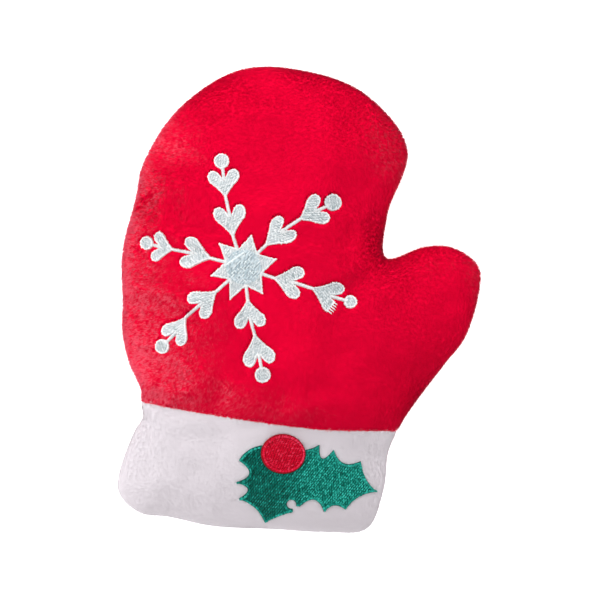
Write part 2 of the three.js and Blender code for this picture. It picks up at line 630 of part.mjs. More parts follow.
const plushRed = { color: 0xd9062c, roughness: 0.95, metalness: 0 };
const plushWhite = { color: 0xe6e1e6, roughness: 0.95, metalness: 0 };
const fibre = { color: 0xf4f2ee, roughness: 1.0, metalness: 0 };
const threadWhite = { color: 0xdfe9e9, roughness: 0.55, metalness: 0 };
const threadBlue = { color: 0xb9cfd8, roughness: 0.55, metalness: 0 };
const threadGreen = { color: 0x00765c, roughness: 0.5, metalness: 0 };
const threadRed = { color: 0xd01038, roughness: 0.5, metalness: 0 };

const mitten = new THREE.Group();
mitten.name = 'mitten';
function add(name, geometry, look) {
  geometry.computeVertexNormals();
  const mesh = new THREE.Mesh(geometry, new THREE.MeshStandardMaterial(look));
  mesh.name = name;
  mitten.add(mesh);
}

add('hand_front', wallGeometry(handNet, front, offset(front, frontNormals, -WALL), 1), plushRed);
add('hand_back', wallGeometry(handNet, back, offset(back, backNormals, -WALL), -1), plushRed);
add('cuff_front', wallGeometry(cuffNet, front, offset(front, frontNormals, -WALL), 1), plushWhite);
add('cuff_back', wallGeometry(cuffNet, back, offset(back, backNormals, -WALL), -1), plushWhite);
add('stuffing', fillingGeometry(), fibre);

for (let i = 1; i <= 6; i++) add(`snowflake_arm_${i}`, toGeometry(armSolid(i).intersect(handThread)), threadWhite);
add('snowflake_star', toGeometry(starSolid.intersect(handThread)), threadWhite);
add('snowflake_hub', toGeometry(hubSolid.intersect(handThread)), threadBlue);

add('holly_leaf_left', toGeometry(leafSolid(LEAF_LEFT).intersect(cuffThread)), threadGreen);
add('holly_leaf_right', toGeometry(leafSolid(LEAF_RIGHT).intersect(cuffThread)), threadGreen);
add('holly_berry', toGeometry(prismOf(disc(BERRY.x, BERRY.y, BERRY.rx, BERRY.ry)).intersect(cuffBerryThread)), threadRed);

export default mitten;
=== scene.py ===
import math

import bpy
import numpy as np
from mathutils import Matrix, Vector, geometry, kdtree


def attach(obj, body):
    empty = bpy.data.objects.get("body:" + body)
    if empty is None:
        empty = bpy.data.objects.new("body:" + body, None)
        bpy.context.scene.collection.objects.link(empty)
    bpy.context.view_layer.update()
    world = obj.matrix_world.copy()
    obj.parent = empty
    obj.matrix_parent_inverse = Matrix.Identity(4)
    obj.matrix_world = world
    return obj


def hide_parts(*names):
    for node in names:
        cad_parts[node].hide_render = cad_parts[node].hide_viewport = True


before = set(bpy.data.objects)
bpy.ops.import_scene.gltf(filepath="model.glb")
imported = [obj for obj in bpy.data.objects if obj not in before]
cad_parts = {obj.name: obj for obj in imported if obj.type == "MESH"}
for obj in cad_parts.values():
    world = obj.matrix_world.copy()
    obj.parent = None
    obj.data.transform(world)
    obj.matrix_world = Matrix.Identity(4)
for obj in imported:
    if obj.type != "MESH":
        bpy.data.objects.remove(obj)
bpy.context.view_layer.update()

MM = 0.001
rng = np.random.default_rng(20)

# ------------------------------------------------------------------ the cut and its sizes, in millimetres

SEAM_GAP = 0.3
PILE = {
    "hand": dict(length=1.25, width=0.30, lean=0.80),
    "cuff": dict(length=0.65, width=0.33, lean=1.8),
}

FILLING = {
    "hand": dict(x=-14, y=18, seam_height=19.5, front_rise=27.5, back_drop=25),
    "thumb": dict(x=51, y=4, seam_height=16.0, front_rise=15.0, back_drop=15),
    "cuff": dict(x=-8, y=-68, seam_height=16.0, front_rise=17.5, back_drop=19),
}
HAND_TOP_AND_RIGHT = [
    ("fingertips", -5.6, 88.9),
    ("shoulder", 18.0, 82.3),
    ("right_side", 36.1, 62.9),
    ("above_thumb", 31.1, 37.1),
    ("thumb_crotch", 32.3, 20.5),
]
THUMB = [
    ("top_edge", 46.9, 26.6),
    ("top_of_tip", 56.9, 27.5),
    ("tip_corner", 66.5, 23.0),
    ("tip", 69.4, 18.2),
    ("outer_side", 66.4, -5.9),
    ("heel", 59.2, -18.0),
    ("root", 46.0, -40.0),
]
CUFF = [
    ("seam_right", 43.4, -47.0),
    ("right_side_top", 41.4, -54.3),
    ("right_side", 41.2, -68.3),
    ("right_corner", 36.3, -84.4),
    ("bottom_right", 19.3, -87.6),
    ("bottom_middle", 0.3, -88.5),
    ("bottom_left", -23.5, -89.8),
    ("left_corner_inner", -41.0, -88.0),
    ("left_corner", -51.9, -87.6),
    ("left_side_low", -61.5, -79.7),
    ("left_side", -57.8, -56.3),
    ("left_side_top", -55.0, -50.3),
    ("seam_left", -56.0, -45.3),
]
HAND_LEFT = [
    ("wrist", -56.0, -40.2),
    ("heel_of_hand", -61.6, -30.1),
    ("lower_left", -65.5, -18.6),
    ("middle_left", -66.6, -6.5),
    ("widest", -68.7, 11.5),
    ("pinch", -65.7, 34.3),
    ("dip_below_pinch", -64.5, 46.3),
    ("upper_left", -52.8, 69.5),
    ("left_of_fingertips", -31.5, 86.6),
]
CUFF_SEAM = [
    ("left_edge", -55.9, -44.0),
    ("left_rise", -47.5, -44.6),
    ("left_third", -32.5, -45.4),
    ("middle", -10.5, -46.4),
    ("right_third", 14.1, -46.9),
    ("near_right", 29.0, -45.9),
    ("right_edge", 43.6, -45.1),
]
# name, x, y, heading, half length, half width, depth
FOLDS = [
    ("thumb_crotch_pull", 27, 13, 228, 15, 5, 2.6),
    ("thumb_base_fold", 41, 4, 262, 14, 5, 0.5),
    ("left_pinch", -61.5, 30.8, 40, 5.5, 1.9, 3.6),
    ("seam_pull_left", -50, -40, 65, 7, 3, 1.2),
    ("seam_pull_right", 38, -41, 110, 7, 3, 1.2),
]
SEAM_VALLEY = dict(depth=1.5, hand=4.5, cuff=4.0)

SNOWFLAKE = (-21.2, 11.0)
HUB_RADIUS = 6.6
STAR_NOTCH_RADIUS = 7.3
LINK_WIDTH = 1.75
# arm, ring, r, at, axis, length, width
HEARTS = [
    (1, "inner", 11.1, 117, 104, 12.9, 12.6),
    (1, "outer", 26.3, 111, 102, 11.4, 12.4),
    (2, "inner", 10.1, 51, 48, 13.4, 11.6),
    (2, "outer", 26.5, 47, 34, 11.9, 12.2),
    (3, "inner", 10.9, -15, -6, 12.2, 12.6),
    (3, "outer", 25.7, -11, -17, 12.8, 12.2),
    (4, "inner", 11.3, -77, -78, 11.8, 12.3),
    (4, "outer", 24.5, -75, -73, 12.9, 12.5),
    (5, "inner", 12.7, -132, -135, 12.0, 11.8),
    (5, "outer", 27.9, -134, -117, 11.7, 11.0),
    (6, "inner", 11.7, 171, 171, 12.6, 12.4),
    (6, "outer", 26.9, 172, 175, 9.0, 11.8),
]
# arm, r, at, radius
DOTS = [
    (1, 40.8, 108, 3.1),
    (2, 41.4, 42, 3.4),
    (3, 42.1, -12, 2.7),
    (4, 41.0, -74, 3.2),
    (5, 43.1, -130, 3.0),
    (6, 38.3, 172, 2.8),
]
# at, r
STAR_SPIKES = [(19, 12.9), (82, 12.6), (142, 13.3), (201, 13.1), (253, 13.7), (311, 12.7)]
BERRY = dict(x=0.7, y=-57.5, rx=8.3, ry=7.5)
BITE = dict(x=5.9, y=-76.8, radius=1.9)
# what the row is, x, y, how far the edge to the next row swells (+) or bites in (-)
LEAF_LEFT = [
    ("under_berry", 0.8, -62.0, 0),
    ("beside_berry", -6.8, -55.2, 1.4),
    ("spike", -15.6, -61.9, -4.6),
    ("spike", -15.9, -70.5, -4.1),
    ("spike", -14.3, -76.8, -1.8),
    ("tip", -3.5, -85.2, -0.5),
    ("bite_foot", 6.8, -79.7, 0),
    ("bite", 5.9, -76.8, 0),
]
LEAF_RIGHT = [
    ("under_berry", 0.8, -62.0, 0),
    ("bite", 5.9, -76.8, 0),
    ("spike", 9.1, -77.3, -3.9),
    ("spike", 18.6, -78.6, -2.2),
    ("spike", 26.6, -76.9, -1.9),
    ("tip", 37.9, -69.2, -1.4),
    ("spike", 30.4, -57.8, -3.2),
    ("spike", 19.6, -54.3, -4.6),
    ("spike", 14.0, -52.9, -0.5),
    ("beside_berry", 7.6, -55.7, 0),
]


# ------------------------------------------------------------------ small tools


def smooth(t):
    t = np.clip(t, 0, 1)
    return t * t * (3 - 2 * t)


def catmull(points, closed, per):
    """Centripetal Catmull-Rom through points, per samples a span."""
    p = np.array(points, float)
    n = len(p)
    out = []
    spans = n if closed else n - 1
    for i in range(spans):
        if closed:
            a, b, c, d = (p[(i + k) % n] for k in (-1, 0, 1, 2))
        else:
            b, c = p[i], p[i + 1]
            a = p[i - 1] if i else 2 * b - c
            d = p[i + 2] if i + 2 < n else 2 * c - b
        d0, d1, d2 = (math.sqrt(np.linalg.norm(v)) for v in (b - a, c - b, d - c))
        t1 = ((b - a) / d0 - (c - a) / (d0 + d1) + (c - b) / d1) * d1
        t2 = ((c - b) / d1 - (d - b) / (d1 + d2) + (d - c) / d2) * d1
        t = np.linspace(0, 1, per, endpoint=False)[:, None]
        out.append(b + t1 * t + (-3 * b + 3 * c - 2 * t1 - t2) * t**2 + (2 * b - 2 * c + t1 + t2) * t**3)
    if not closed:
        out.append(p[-1:])
    return np.vstack(out)


def resample(path, step, closed):
    """Evenly spaced points along a path, about step apart."""
    q = np.vstack([path, path[:1]]) if closed else path
    s = np.concatenate([[0], np.cumsum(np.linalg.norm(np.diff(q, axis=0), axis=1))])
    n = max(2, int(round(s[-1] / step)))
    t = np.linspace(0, s[-1], n + 1)
    if closed:
        t = t[:-1]
    return np.stack([np.interp(t, s, q[:, k]) for k in range(q.shape[1])], 1)


def inside(pts, poly):
    x, y = pts[:, 0], pts[:, 1]
    res = np.zeros(len(pts), bool)
    bx0, by0 = poly.min(0)
    bx1, by1 = poly.max(0)
    near = (x >= bx0) & (x <= bx1) & (y >= by0) & (y <= by1)
    if not near.any():
        return res
    xs, ys = x[near], y[near]
    hit = np.zeros(len(xs), bool)
    a, b = poly, np.roll(poly, -1, 0)
    for (ax, ay), (bx, by) in zip(a, b):
        if ay == by:
            continue
        cross = (ay > ys) != (by > ys)
        hit ^= cross & (xs < (bx - ax) * (ys - ay) / (by - ay) + ax)
    res[near] = hit
    return res


def path_distance(pts, path, closed):
    """Distance from each point to a path, and the index of the nearest segment."""
    a = path if closed else path[:-1]
    b = np.roll(path, -1, 0) if closed else path[1:]
    ab = b - a
    ll = (ab**2).sum(1)
    best = np.full(len(pts), np.inf)
    for s in range(0, len(pts), 4000):
        p = pts[s : s + 4000, None, :]
        t = np.clip(((p - a) * ab).sum(2) / ll, 0, 1)
        d = ((p - a - t[..., None] * ab) ** 2).sum(2)
        best[s : s + 4000] = d.min(1)
    return np.sqrt(best)


# ------------------------------------------------------------------ outline and filled form

RAW = catmull([r[1:3] for r in HAND_TOP_AND_RIGHT + THUMB + CUFF + HAND_LEFT], True, 60)
MIDDLE = (RAW.min(0) + RAW.max(0)) / 2
OUTLINE = resample(RAW, 0.5, True)
SEAM = resample(catmull([r[1:3] for r in CUFF_SEAM], False, 60), 0.5, False)

CELL = 1.0
gx = np.arange(-72, 72.5, CELL)
gy = np.arange(-93, 93.5, CELL)
GX, GY = np.meshgrid(gx, gy)
grid_points = np.stack([GX.ravel(), GY.ravel()], 1)
grid_in = inside(grid_points, OUTLINE).reshape(GX.shape)
grid_dist = path_distance(grid_points, OUTLINE, True).reshape(GX.shape)
sdf = np.where(grid_in, grid_dist, -grid_dist)


def membrane():
    """The height of a membrane under even pressure, held at the outline."""
    pad = lambda a, dy, dx: np.roll(np.roll(a, -dy, 0), -dx, 1)
    steps = [(0, 1), (0, -1), (1, 0), (-1, 0)]
    share = []
    for dy, dx in steps:
        other = pad(sdf, dy, dx)
        share.append(np.where(other > 0, 1.0, np.clip(sdf / np.maximum(sdf - other, 1e-6), 0.08, 1.0)))
    e, w, n, s = share
    ce, cw, cn, cs = 2 / (e * (e + w)), 2 / (w * (e + w)), 2 / (n * (n + s)), 2 / (s * (n + s))
    cm = ce + cw + cn + cs
    u = np.zeros_like(sdf)
    red = ((np.add.outer(np.arange(len(gy)), np.arange(len(gx))) % 2) == 0) & grid_in
    black = ~red & grid_in
    for _ in range(420):
        for m in (red, black):
            sum_ = ce * pad(u, 0, 1) + cw * pad(u, 0, -1) + cn * pad(u, 1, 0) + cs * pad(u, -1, 0) + CELL**2
            new = sum_ / cm
            u[m] += 1.94 * (new[m] - u[m])
    return np.maximum(u, 0)


U = membrane()
steep = np.where(sdf > 0.6, U / np.maximum(sdf, 0.6), 0.0)
known = sdf > 0.6
for _ in range(6):
    total = np.zeros_like(steep)
    count = np.zeros_like(steep)
    for dy, dx in [(0, 1), (0, -1), (1, 0), (-1, 0), (1, 1), (1, -1), (-1, 1), (-1, -1)]:
        k = np.roll(np.roll(known, dy, 0), dx, 1)
        total += np.where(k, np.roll(np.roll(steep, dy, 0), dx, 1), 0)
        count += k
    fresh = ~known & (count > 0)
    steep[fresh] = total[fresh] / count[fresh]
    known |= fresh


def on_grid(field, x, y):
    fx, fy = (x - gx[0]) / CELL, (y - gy[0]) / CELL
    i = np.clip(fx.astype(int), 0, len(gx) - 2)
    j = np.clip(fy.astype(int), 0, len(gy) - 2)
    a, b = fx - i, fy - j
    return (
        field[j, i] * (1 - a) * (1 - b)
        + field[j, i + 1] * a * (1 - b)
        + field[j + 1, i] * (1 - a) * b
        + field[j + 1, i + 1] * a * b
    )


def swell(x, y, d):
    return np.sqrt(np.maximum(on_grid(steep, x, y), 0) * np.maximum(d, 0))


def cuff_share(x, y):
    return smooth((-34 - y) / 22)


def thumb_share(x, y):
    return smooth((x - 26) / 26) * smooth((y + 44) / 20) * smooth((36 - y) / 10)


def mix(key, x, y):
    c, t = cuff_share(x, y), thumb_share(x, y)
    return (FILLING["hand"][key] * (1 - t) + FILLING["thumb"][key] * t) * (1 - c) + FILLING["cuff"][key] * c


for part in FILLING.values():
    m = swell(*(np.array([v], float) for v in (part["x"], part["y"])), on_grid(sdf, np.array([float(part["x"])]), np.array([float(part["y"])])))[0]
    part["front"], part["back"] = part["front_rise"] / m, part["back_drop"] / m


def dents(x, y):
    d = np.zeros_like(x)
    for _, fx, fy, heading, hl, hw, depth in FOLDS:
        c, s = math.cos(math.radians(heading)), math.sin(math.radians(heading))
        along, across = (x - fx) * c + (y - fy) * s, -(x - fx) * s + (y - fy) * c
        d += depth * np.exp(-((along / hl) ** 2) - (across / hw) ** 2)
    return d


def valley(x, y):
    d = path_distance(np.stack([x, y], 1), SEAM[::4], False)
    seam_y = np.interp(x, SEAM[:, 0], SEAM[:, 1])
    w = np.where(y > seam_y, SEAM_VALLEY["hand"], SEAM_VALLEY["cuff"])
    return SEAM_VALLEY["depth"] * np.exp(-((d / w) ** 1.5))


LIE = 2.2


def lie_flat(z):
    return np.where(z <= -LIE, 0, np.where(z >= LIE, z, (z + LIE) ** 2 / (4 * LIE)))


def lumps(x, y, seed):
    """Slow unevenness of the filling, a few tenths of a millimetre."""
    r = np.random.default_rng(seed)
    total = np.zeros_like(x)
    for scale, size in ((34, 0.45), (19, 0.28), (11, 0.14)):
        for _ in range(7):
            a, ph = r.uniform(0, 2 * math.pi), r.uniform(0, 2 * math.pi)
            total += size * 0.4 * np.sin((x * math.cos(a) + y * math.sin(a)) * 2 * math.pi / scale + ph)
    return total


PUCKERS = {"front": np.zeros_like(sdf), "back": np.zeros_like(sdf)}   # filled in by the cloth simulation


def heights(x, y, d):
    """Front and back heights of the skin over the surface it lies on."""
    m = swell(x, y, d)
    zs = mix("seam_height", x, y)
    rise, drop = mix("front", x, y) * m, mix("back", x, y) * m
    v = valley(x, y)
    even = 1 - 0.65 * cuff_share(x, y)   # the cuff is filled more evenly than the hand
    tight = even * (1 - 0.75 * smooth((x - 16) / 14))   # and the thumb's side is tighter
    front = zs + np.maximum(rise - (dents(x, y) + v - even * lumps(x, y, 3)) * smooth(rise / 12) + tight * on_grid(PUCKERS["front"], x, y) * smooth(rise / 6), 0) + SEAM_GAP / 2
    back = lie_flat(zs - np.maximum(drop - v * 0.8 * smooth(drop / 12) - on_grid(PUCKERS["back"], x, y) * smooth(drop / 6), 0) - SEAM_GAP / 2)
    return front, back, zs


# ------------------------------------------------------------------ making objects


def make_mesh(name, verts_mm, faces, uv=None, shade=None, normals=None):
    """A mesh object from arrays, moved to the row frame and metres. shade is a number for each vertex
    that its material reads, and normals are the directions that it is shaded by."""
    v = np.asarray(verts_mm, float).copy()
    v[:, 0] -= MIDDLE[0]
    v[:, 1] -= MIDDLE[1]
    v *= MM
    f = np.asarray(faces, np.int32)
    me = bpy.data.meshes.new(name)
    me.vertices.add(len(v))
    me.vertices.foreach_set("co", v.astype(np.float32).ravel())
    me.loops.add(f.size)
    me.loops.foreach_set("vertex_index", f.ravel())
    me.polygons.add(len(f))
    k = f.shape[1]
    me.polygons.foreach_set("loop_start", np.arange(0, f.size, k, dtype=np.int32))
    me.polygons.foreach_set("use_smooth", np.ones(len(f), bool))
    if uv is not None:
        layer = me.uv_layers.new(name="OFBake")
        layer.uv.foreach_set("vector", np.asarray(uv, np.float32).ravel())
    if shade is not None:
        at = me.attributes.new("shade", "FLOAT", "POINT")
        at.data.foreach_set("value", np.asarray(shade, np.float32))
    me.update(calc_edges=True)
    if normals is not None:
        at = me.attributes.new("custom_normal", "FLOAT_VECTOR", "POINT")
        at.data.foreach_set("vector", np.asarray(normals, np.float32).ravel())
    ob = bpy.data.objects.new(name, me)
    bpy.context.scene.collection.objects.link(ob)
    return ob


def boundary_loop(path_ids):
    return list(zip(path_ids, path_ids[1:] + path_ids[:1]))


def flat_net(loop, edge_mask, spacing, insets):
    """A net inside a closed loop: rings near the parts of the loop where edge_mask holds, hexagons within.
    Returns points, triangles, distance to the sewn edge and how many points are on the loop."""
    pts = [tuple(p) for p in loop]
    n = len(loop)
    prev, nxt = np.roll(loop, 1, 0), np.roll(loop, -1, 0)
    tangent = nxt - prev
    normal = np.stack([-tangent[:, 1], tangent[:, 0]], 1)
    normal /= np.linalg.norm(normal, axis=1, keepdims=True)
    probe = loop + normal * 0.05
    if inside(probe, loop).mean() > 0.5:
        normal = -normal  # outward
    seam_part = loop[~edge_mask]
    for k, inset in enumerate(insets):
        cand = loop[edge_mask] - normal[edge_mask] * inset
        ok = inside(cand, loop)
        ok &= path_distance(cand, OUTLINE, True) > inset * 0.95
        if len(seam_part):
            ok &= path_distance(cand, SEAM, False) > 0.55 * spacing
        cand = cand[ok]
        gap = max(0.55 * spacing, 0.0)
        tree = kdtree.KDTree(max(1, len(cand)))
        kept = []
        cells = {}
        for c in cand:
            key = (int(c[0] // gap), int(c[1] // gap))
            close = False
            for ix in (-1, 0, 1):
                for iy in (-1, 0, 1):
                    for q in cells.get((key[0] + ix, key[1] + iy), ()):
                        if (q[0] - c[0]) ** 2 + (q[1] - c[1]) ** 2 < gap * gap:
                            close = True
            if not close:
                cells.setdefault(key, []).append(c)
                kept.append(tuple(c))
        pts += kept
    row = spacing * math.sqrt(3) / 2
    lo, hi = loop.min(0), loop.max(0)
    hexes = []
    for j, y in enumerate(np.arange(lo[1], hi[1], row)):
        xs = np.arange(lo[0] + (j % 2) * spacing / 2, hi[0], spacing)
        hexes.append(np.stack([xs, np.full(len(xs), y)], 1))
    hexes = np.vstack(hexes)
    hexes += rng.uniform(-0.06, 0.06, hexes.shape) * spacing
    ok = inside(hexes, loop)
    ok &= path_distance(hexes, OUTLINE, True) > insets[-1] + 0.6 * spacing
    if len(seam_part):
        ok &= path_distance(hexes, SEAM, False) > 0.7 * spacing
    pts += [tuple(p) for p in hexes[ok]]
    vecs = [Vector(p) for p in pts]
    edges = boundary_loop(list(range(n)))
    out_v, _, out_f, *_ = geometry.delaunay_2d_cdt(vecs, edges, [], 1, 1e-6)
    out = np.array([tuple(v) for v in out_v])
    tri = np.array([f for f in out_f if len(f) == 3], np.int32)
    a, b, c = out[tri[:, 0]], out[tri[:, 1]], out[tri[:, 2]]
    turn = (b[:, 0] - a[:, 0]) * (c[:, 1] - a[:, 1]) - (b[:, 1] - a[:, 1]) * (c[:, 0] - a[:, 0])
    tri[turn < 0] = tri[turn < 0][:, ::-1]
    return out, tri


def vertex_normals(p, tri):
    n = np.zeros_like(p)
    fn = np.cross(p[tri[:, 1]] - p[tri[:, 0]], p[tri[:, 2]] - p[tri[:, 0]])
    for k in range(3):
        np.add.at(n, tri[:, k], fn)
    return n / np.maximum(np.linalg.norm(n, axis=1, keepdims=True), 1e-12)


def open_edges(tri):
    """Directed edges used by one triangle only."""
    e = np.vstack([tri[:, [0, 1]], tri[:, [1, 2]], tri[:, [2, 0]]]).astype(np.int64)
    key = e.min(1) * 10_000_000 + e.max(1)
    _, first, counts = np.unique(key, return_index=True, return_counts=True)
    return e[first[counts == 1]]


def shell(outer, inner, tri):
    """A closed wall between two skins over one net."""
    m = len(outer)
    e = open_edges(tri)
    faces = np.vstack([tri, tri[:, ::-1] + m, np.stack([e[:, 1], e[:, 0], e[:, 0] + m], 1), np.stack([e[:, 1], e[:, 0] + m, e[:, 1] + m], 1)])
    return np.vstack([outer, inner]), faces


# ------------------------------------------------------------------ the filled pad, as cloth

# spacing of the net, pressure inside, how much longer the cloth is than the shape it starts from,
# how far a point may move and how deep a pucker may be
PAD = dict(spacing=4.0, pressure=4.0, frames=20, slack=0.05, most=3.0, pucker=0.9)


def blurred(field, weight, reach):
    """A field smoothed over the places that have a weight."""
    k = np.arange(-int(2.5 * reach), int(2.5 * reach) + 1)
    g = np.exp(-0.5 * (k / reach) ** 2)
    g /= g.sum()
    run = lambda f: np.apply_along_axis(np.convolve, 0, np.apply_along_axis(np.convolve, 1, f, g, "same"), g, "same")
    return run(field * weight) / np.maximum(run(weight), 1e-3)


def stuffed_puckers():
    """Fills a coarse closed pad with pressure, held at its seams, and keeps the small unevenness that comes of it."""
    loop = resample(OUTLINE, PAD["spacing"], True)
    xy, tri = flat_net(loop, np.ones(len(loop), bool), PAD["spacing"], [1.2, 3.2])
    d = path_distance(xy, OUTLINE, True)
    sewn = d < 0.05
    d[sewn] = 0
    front, back, zs = heights(xy[:, 0], xy[:, 1], d)
    front[sewn] = back[sewn] = zs[sewn]
    under = np.where(sewn, np.arange(len(xy)), 0)
    under[~sewn] = len(xy) + np.arange((~sewn).sum())
    verts = np.vstack([np.column_stack([xy, front]), np.column_stack([xy, back])[~sewn]])
    pad = make_mesh("pad", verts, np.vstack([tri, under[tri][:, ::-1]]))
    held = sewn | (path_distance(xy, SEAM[::3], False) < 1.6)
    group = pad.vertex_groups.new(name="sewn")
    group.add([int(i) for i in np.where(held)[0]] + [int(under[i]) for i in np.where(held & ~sewn)[0]], 1.0, "REPLACE")
    cloth = pad.modifiers.new("Cloth", "CLOTH")
    cloth.settings.use_pressure = True
    cloth.settings.uniform_pressure_force = PAD["pressure"]
    cloth.settings.vertex_group_mass = "sewn"
    cloth.settings.shrink_min = -PAD["slack"]
    cloth.settings.effector_weights.gravity = 0
    cloth.point_cache.frame_start, cloth.point_cache.frame_end = 1, PAD["frames"]
    scene = bpy.context.scene
    for f in range(1, PAD["frames"] + 1):
        scene.frame_set(f)
    done = pad.evaluated_get(bpy.context.evaluated_depsgraph_get())
    now = np.empty(len(verts) * 3)
    done.data.vertices.foreach_get("co", now)
    now = now.reshape(-1, 3) / MM + np.array([MIDDLE[0], MIDDLE[1], 0])
    bpy.data.objects.remove(pad, do_unlink=True)
    scene.frame_set(1)
    move = now - verts
    far = np.linalg.norm(move, axis=1, keepdims=True)
    now = verts + move * np.minimum(1, PAD["most"] / np.maximum(far, 1e-6))
    found = {}
    for side, ids in (("front", np.arange(len(xy))), ("back", under)):
        q = now[ids]
        base = heights(q[:, 0], q[:, 1], np.maximum(on_grid(sdf, q[:, 0], q[:, 1]), 0))[0 if side == "front" else 1]
        rise = np.where(sewn, 0, q[:, 2] - base)
        tree = kdtree.KDTree(len(q))
        for i, (x, y, _) in enumerate(q):
            tree.insert((x, y, 0), i)
        tree.balance()
        grid = np.zeros(len(grid_points))
        for k in np.where(grid_in.ravel())[0]:
            near_ = tree.find_n((grid_points[k, 0], grid_points[k, 1], 0), 5)
            w = [math.exp(-((n_[2] / 2.6) ** 2)) + 1e-9 for n_ in near_]
            grid[k] = sum(a_ * rise[n_[1]] for a_, n_ in zip(w, near_)) / sum(w)
        grid = grid.reshape(sdf.shape)
        weight = grid_in.astype(float)
        small_ = grid - blurred(grid, weight, 9.0)
        found[side] = np.clip(small_, -PAD["pucker"], PAD["pucker"]) * weight
    print("pad moved", far.mean(), far.max(), "puckers", found["front"].std(), np.abs(found["front"]).max())
    return found


PUCKERS.update(stuffed_puckers())

# Front heights on a fine grid, for whatever is sewn onto the front.
FINE = 0.5
hx = np.arange(-72, 72.1, FINE)
hy = np.arange(-93, 93.1, FINE)
HX, HY = np.meshgrid(hx, hy)
hd = on_grid(sdf, HX.ravel(), HY.ravel())
FRONT_GRID = heights(HX.ravel(), HY.ravel(), np.maximum(hd, 0))[0].reshape(HX.shape)
SLOPE_Y, SLOPE_X = np.gradient(FRONT_GRID, FINE)


def on_fine(field, x, y):
    fx, fy = (x - hx[0]) / FINE, (y - hy[0]) / FINE
    i = np.clip(fx.astype(int), 0, len(hx) - 2)
    j = np.clip(fy.astype(int), 0, len(hy) - 2)
    a, b = fx - i, fy - j
    return (
        field[j, i] * (1 - a) * (1 - b)
        + field[j, i + 1] * a * (1 - b)
        + field[j + 1, i] * (1 - a) * b
        + field[j + 1, i + 1] * a * b
    )


def front_at(x, y, lift):
    """Points lift above the front skin, along its normal."""
    z = on_fine(FRONT_GRID, x, y)
    sx, sy = on_fine(SLOPE_X, x, y), on_fine(SLOPE_Y, x, y)
    n = np.stack([-sx, -sy, np.ones_like(sx)], -1)
    n /= np.linalg.norm(n, axis=-1, keepdims=True)
    p = np.stack([x, y, z], -1)
    lift = np.asarray(lift)
    return p + n * (lift[..., None] if lift.ndim else lift), n


# ------------------------------------------------------------------ materials


def new_material(name):
    mat = bpy.data.materials.new(name)
    mat.use_nodes = True
    nt = mat.node_tree
    nt.nodes.clear()
    out = nt.nodes.new("ShaderNodeOutputMaterial")
    bsdf = nt.nodes.new("ShaderNodeBsdfPrincipled")
    nt.links.new(bsdf.outputs[0], out.inputs[0])
    return mat, nt, bsdf


def plush(name, deep, dark, mid, light, sheen, sheen_tint, by_shade):
    """Short plush. With by_shade its colour follows the shade attribute: darker with painted shade at the foot of the
    pile and round the motifs, paler pink with painted sheen where the light catches it. A real sheen lobe gives a soft
    bloom where it turns away.
    """
    mat, nt, bsdf = new_material(name)
    tc = nt.nodes.new("ShaderNodeTexCoord")
    noise = nt.nodes.new("ShaderNodeTexNoise")
    noise.inputs["Scale"].default_value = 560
    noise.inputs["Detail"].default_value = 2
    nt.links.new(tc.outputs["Object"], noise.inputs["Vector"])
    level = nt.nodes.new("ShaderNodeMath")
    level.operation = "MULTIPLY_ADD"
    level.use_clamp = True
    nt.links.new(noise.outputs["Fac"], level.inputs[0])
    level.inputs[1].default_value = 0.16
    level.inputs[2].default_value = 0.34
    if by_shade:
        at = nt.nodes.new("ShaderNodeAttribute")
        at.attribute_name = "shade"
        nt.links.new(at.outputs["Fac"], level.inputs[2])
    ramp = nt.nodes.new("ShaderNodeValToRGB")
    ramp.color_ramp.elements[0].position = 0.0
    ramp.color_ramp.elements[0].color = (*deep, 1)
    ramp.color_ramp.elements[1].position = 1.0
    ramp.color_ramp.elements[1].color = (*light, 1)
    for place, tone in ((0.24, dark), (0.42, mid), (0.52, mid)):
        e = ramp.color_ramp.elements.new(place)
        e.color = (*tone, 1)
    nt.links.new(level.outputs[0], ramp.inputs["Fac"])
    nt.links.new(ramp.outputs["Color"], bsdf.inputs["Base Color"])
    bsdf.inputs["Roughness"].default_value = 0.9
    bsdf.inputs["Specular IOR Level"].default_value = 0.02
    bsdf.inputs["Sheen Weight"].default_value = sheen
    bsdf.inputs["Sheen Roughness"].default_value = 0.24
    bsdf.inputs["Sheen Tint"].default_value = (*sheen_tint, 1)
    return mat


def thread(name, dark, mid, light, rough=0.45, specular=0.25):
    """Shiny embroidery thread, each strand of its own lightness."""
    mat, nt, bsdf = new_material(name)
    tc = nt.nodes.new("ShaderNodeTexCoord")
    noise = nt.nodes.new("ShaderNodeTexNoise")
    noise.inputs["Scale"].default_value = 900
    noise.inputs["Detail"].default_value = 2
    nt.links.new(tc.outputs["Object"], noise.inputs["Vector"])
    at = nt.nodes.new("ShaderNodeAttribute")
    at.attribute_name = "shade"
    both = nt.nodes.new("ShaderNodeMix")
    both.data_type = "FLOAT"
    both.inputs["Factor"].default_value = 0.25
    nt.links.new(at.outputs["Fac"], both.inputs["A"])
    nt.links.new(noise.outputs["Fac"], both.inputs["B"])
    ramp = nt.nodes.new("ShaderNodeValToRGB")
    ramp.color_ramp.elements[0].position = 0.12
    ramp.color_ramp.elements[0].color = (*dark, 1)
    ramp.color_ramp.elements[1].position = 0.9
    ramp.color_ramp.elements[1].color = (*light, 1)
    e = ramp.color_ramp.elements.new(0.5)
    e.color = (*mid, 1)
    nt.links.new(both.outputs["Result"], ramp.inputs["Fac"])
    nt.links.new(ramp.outputs["Color"], bsdf.inputs["Base Color"])
    bsdf.inputs["Roughness"].default_value = rough
    bsdf.inputs["Specular IOR Level"].default_value = specular
    return mat


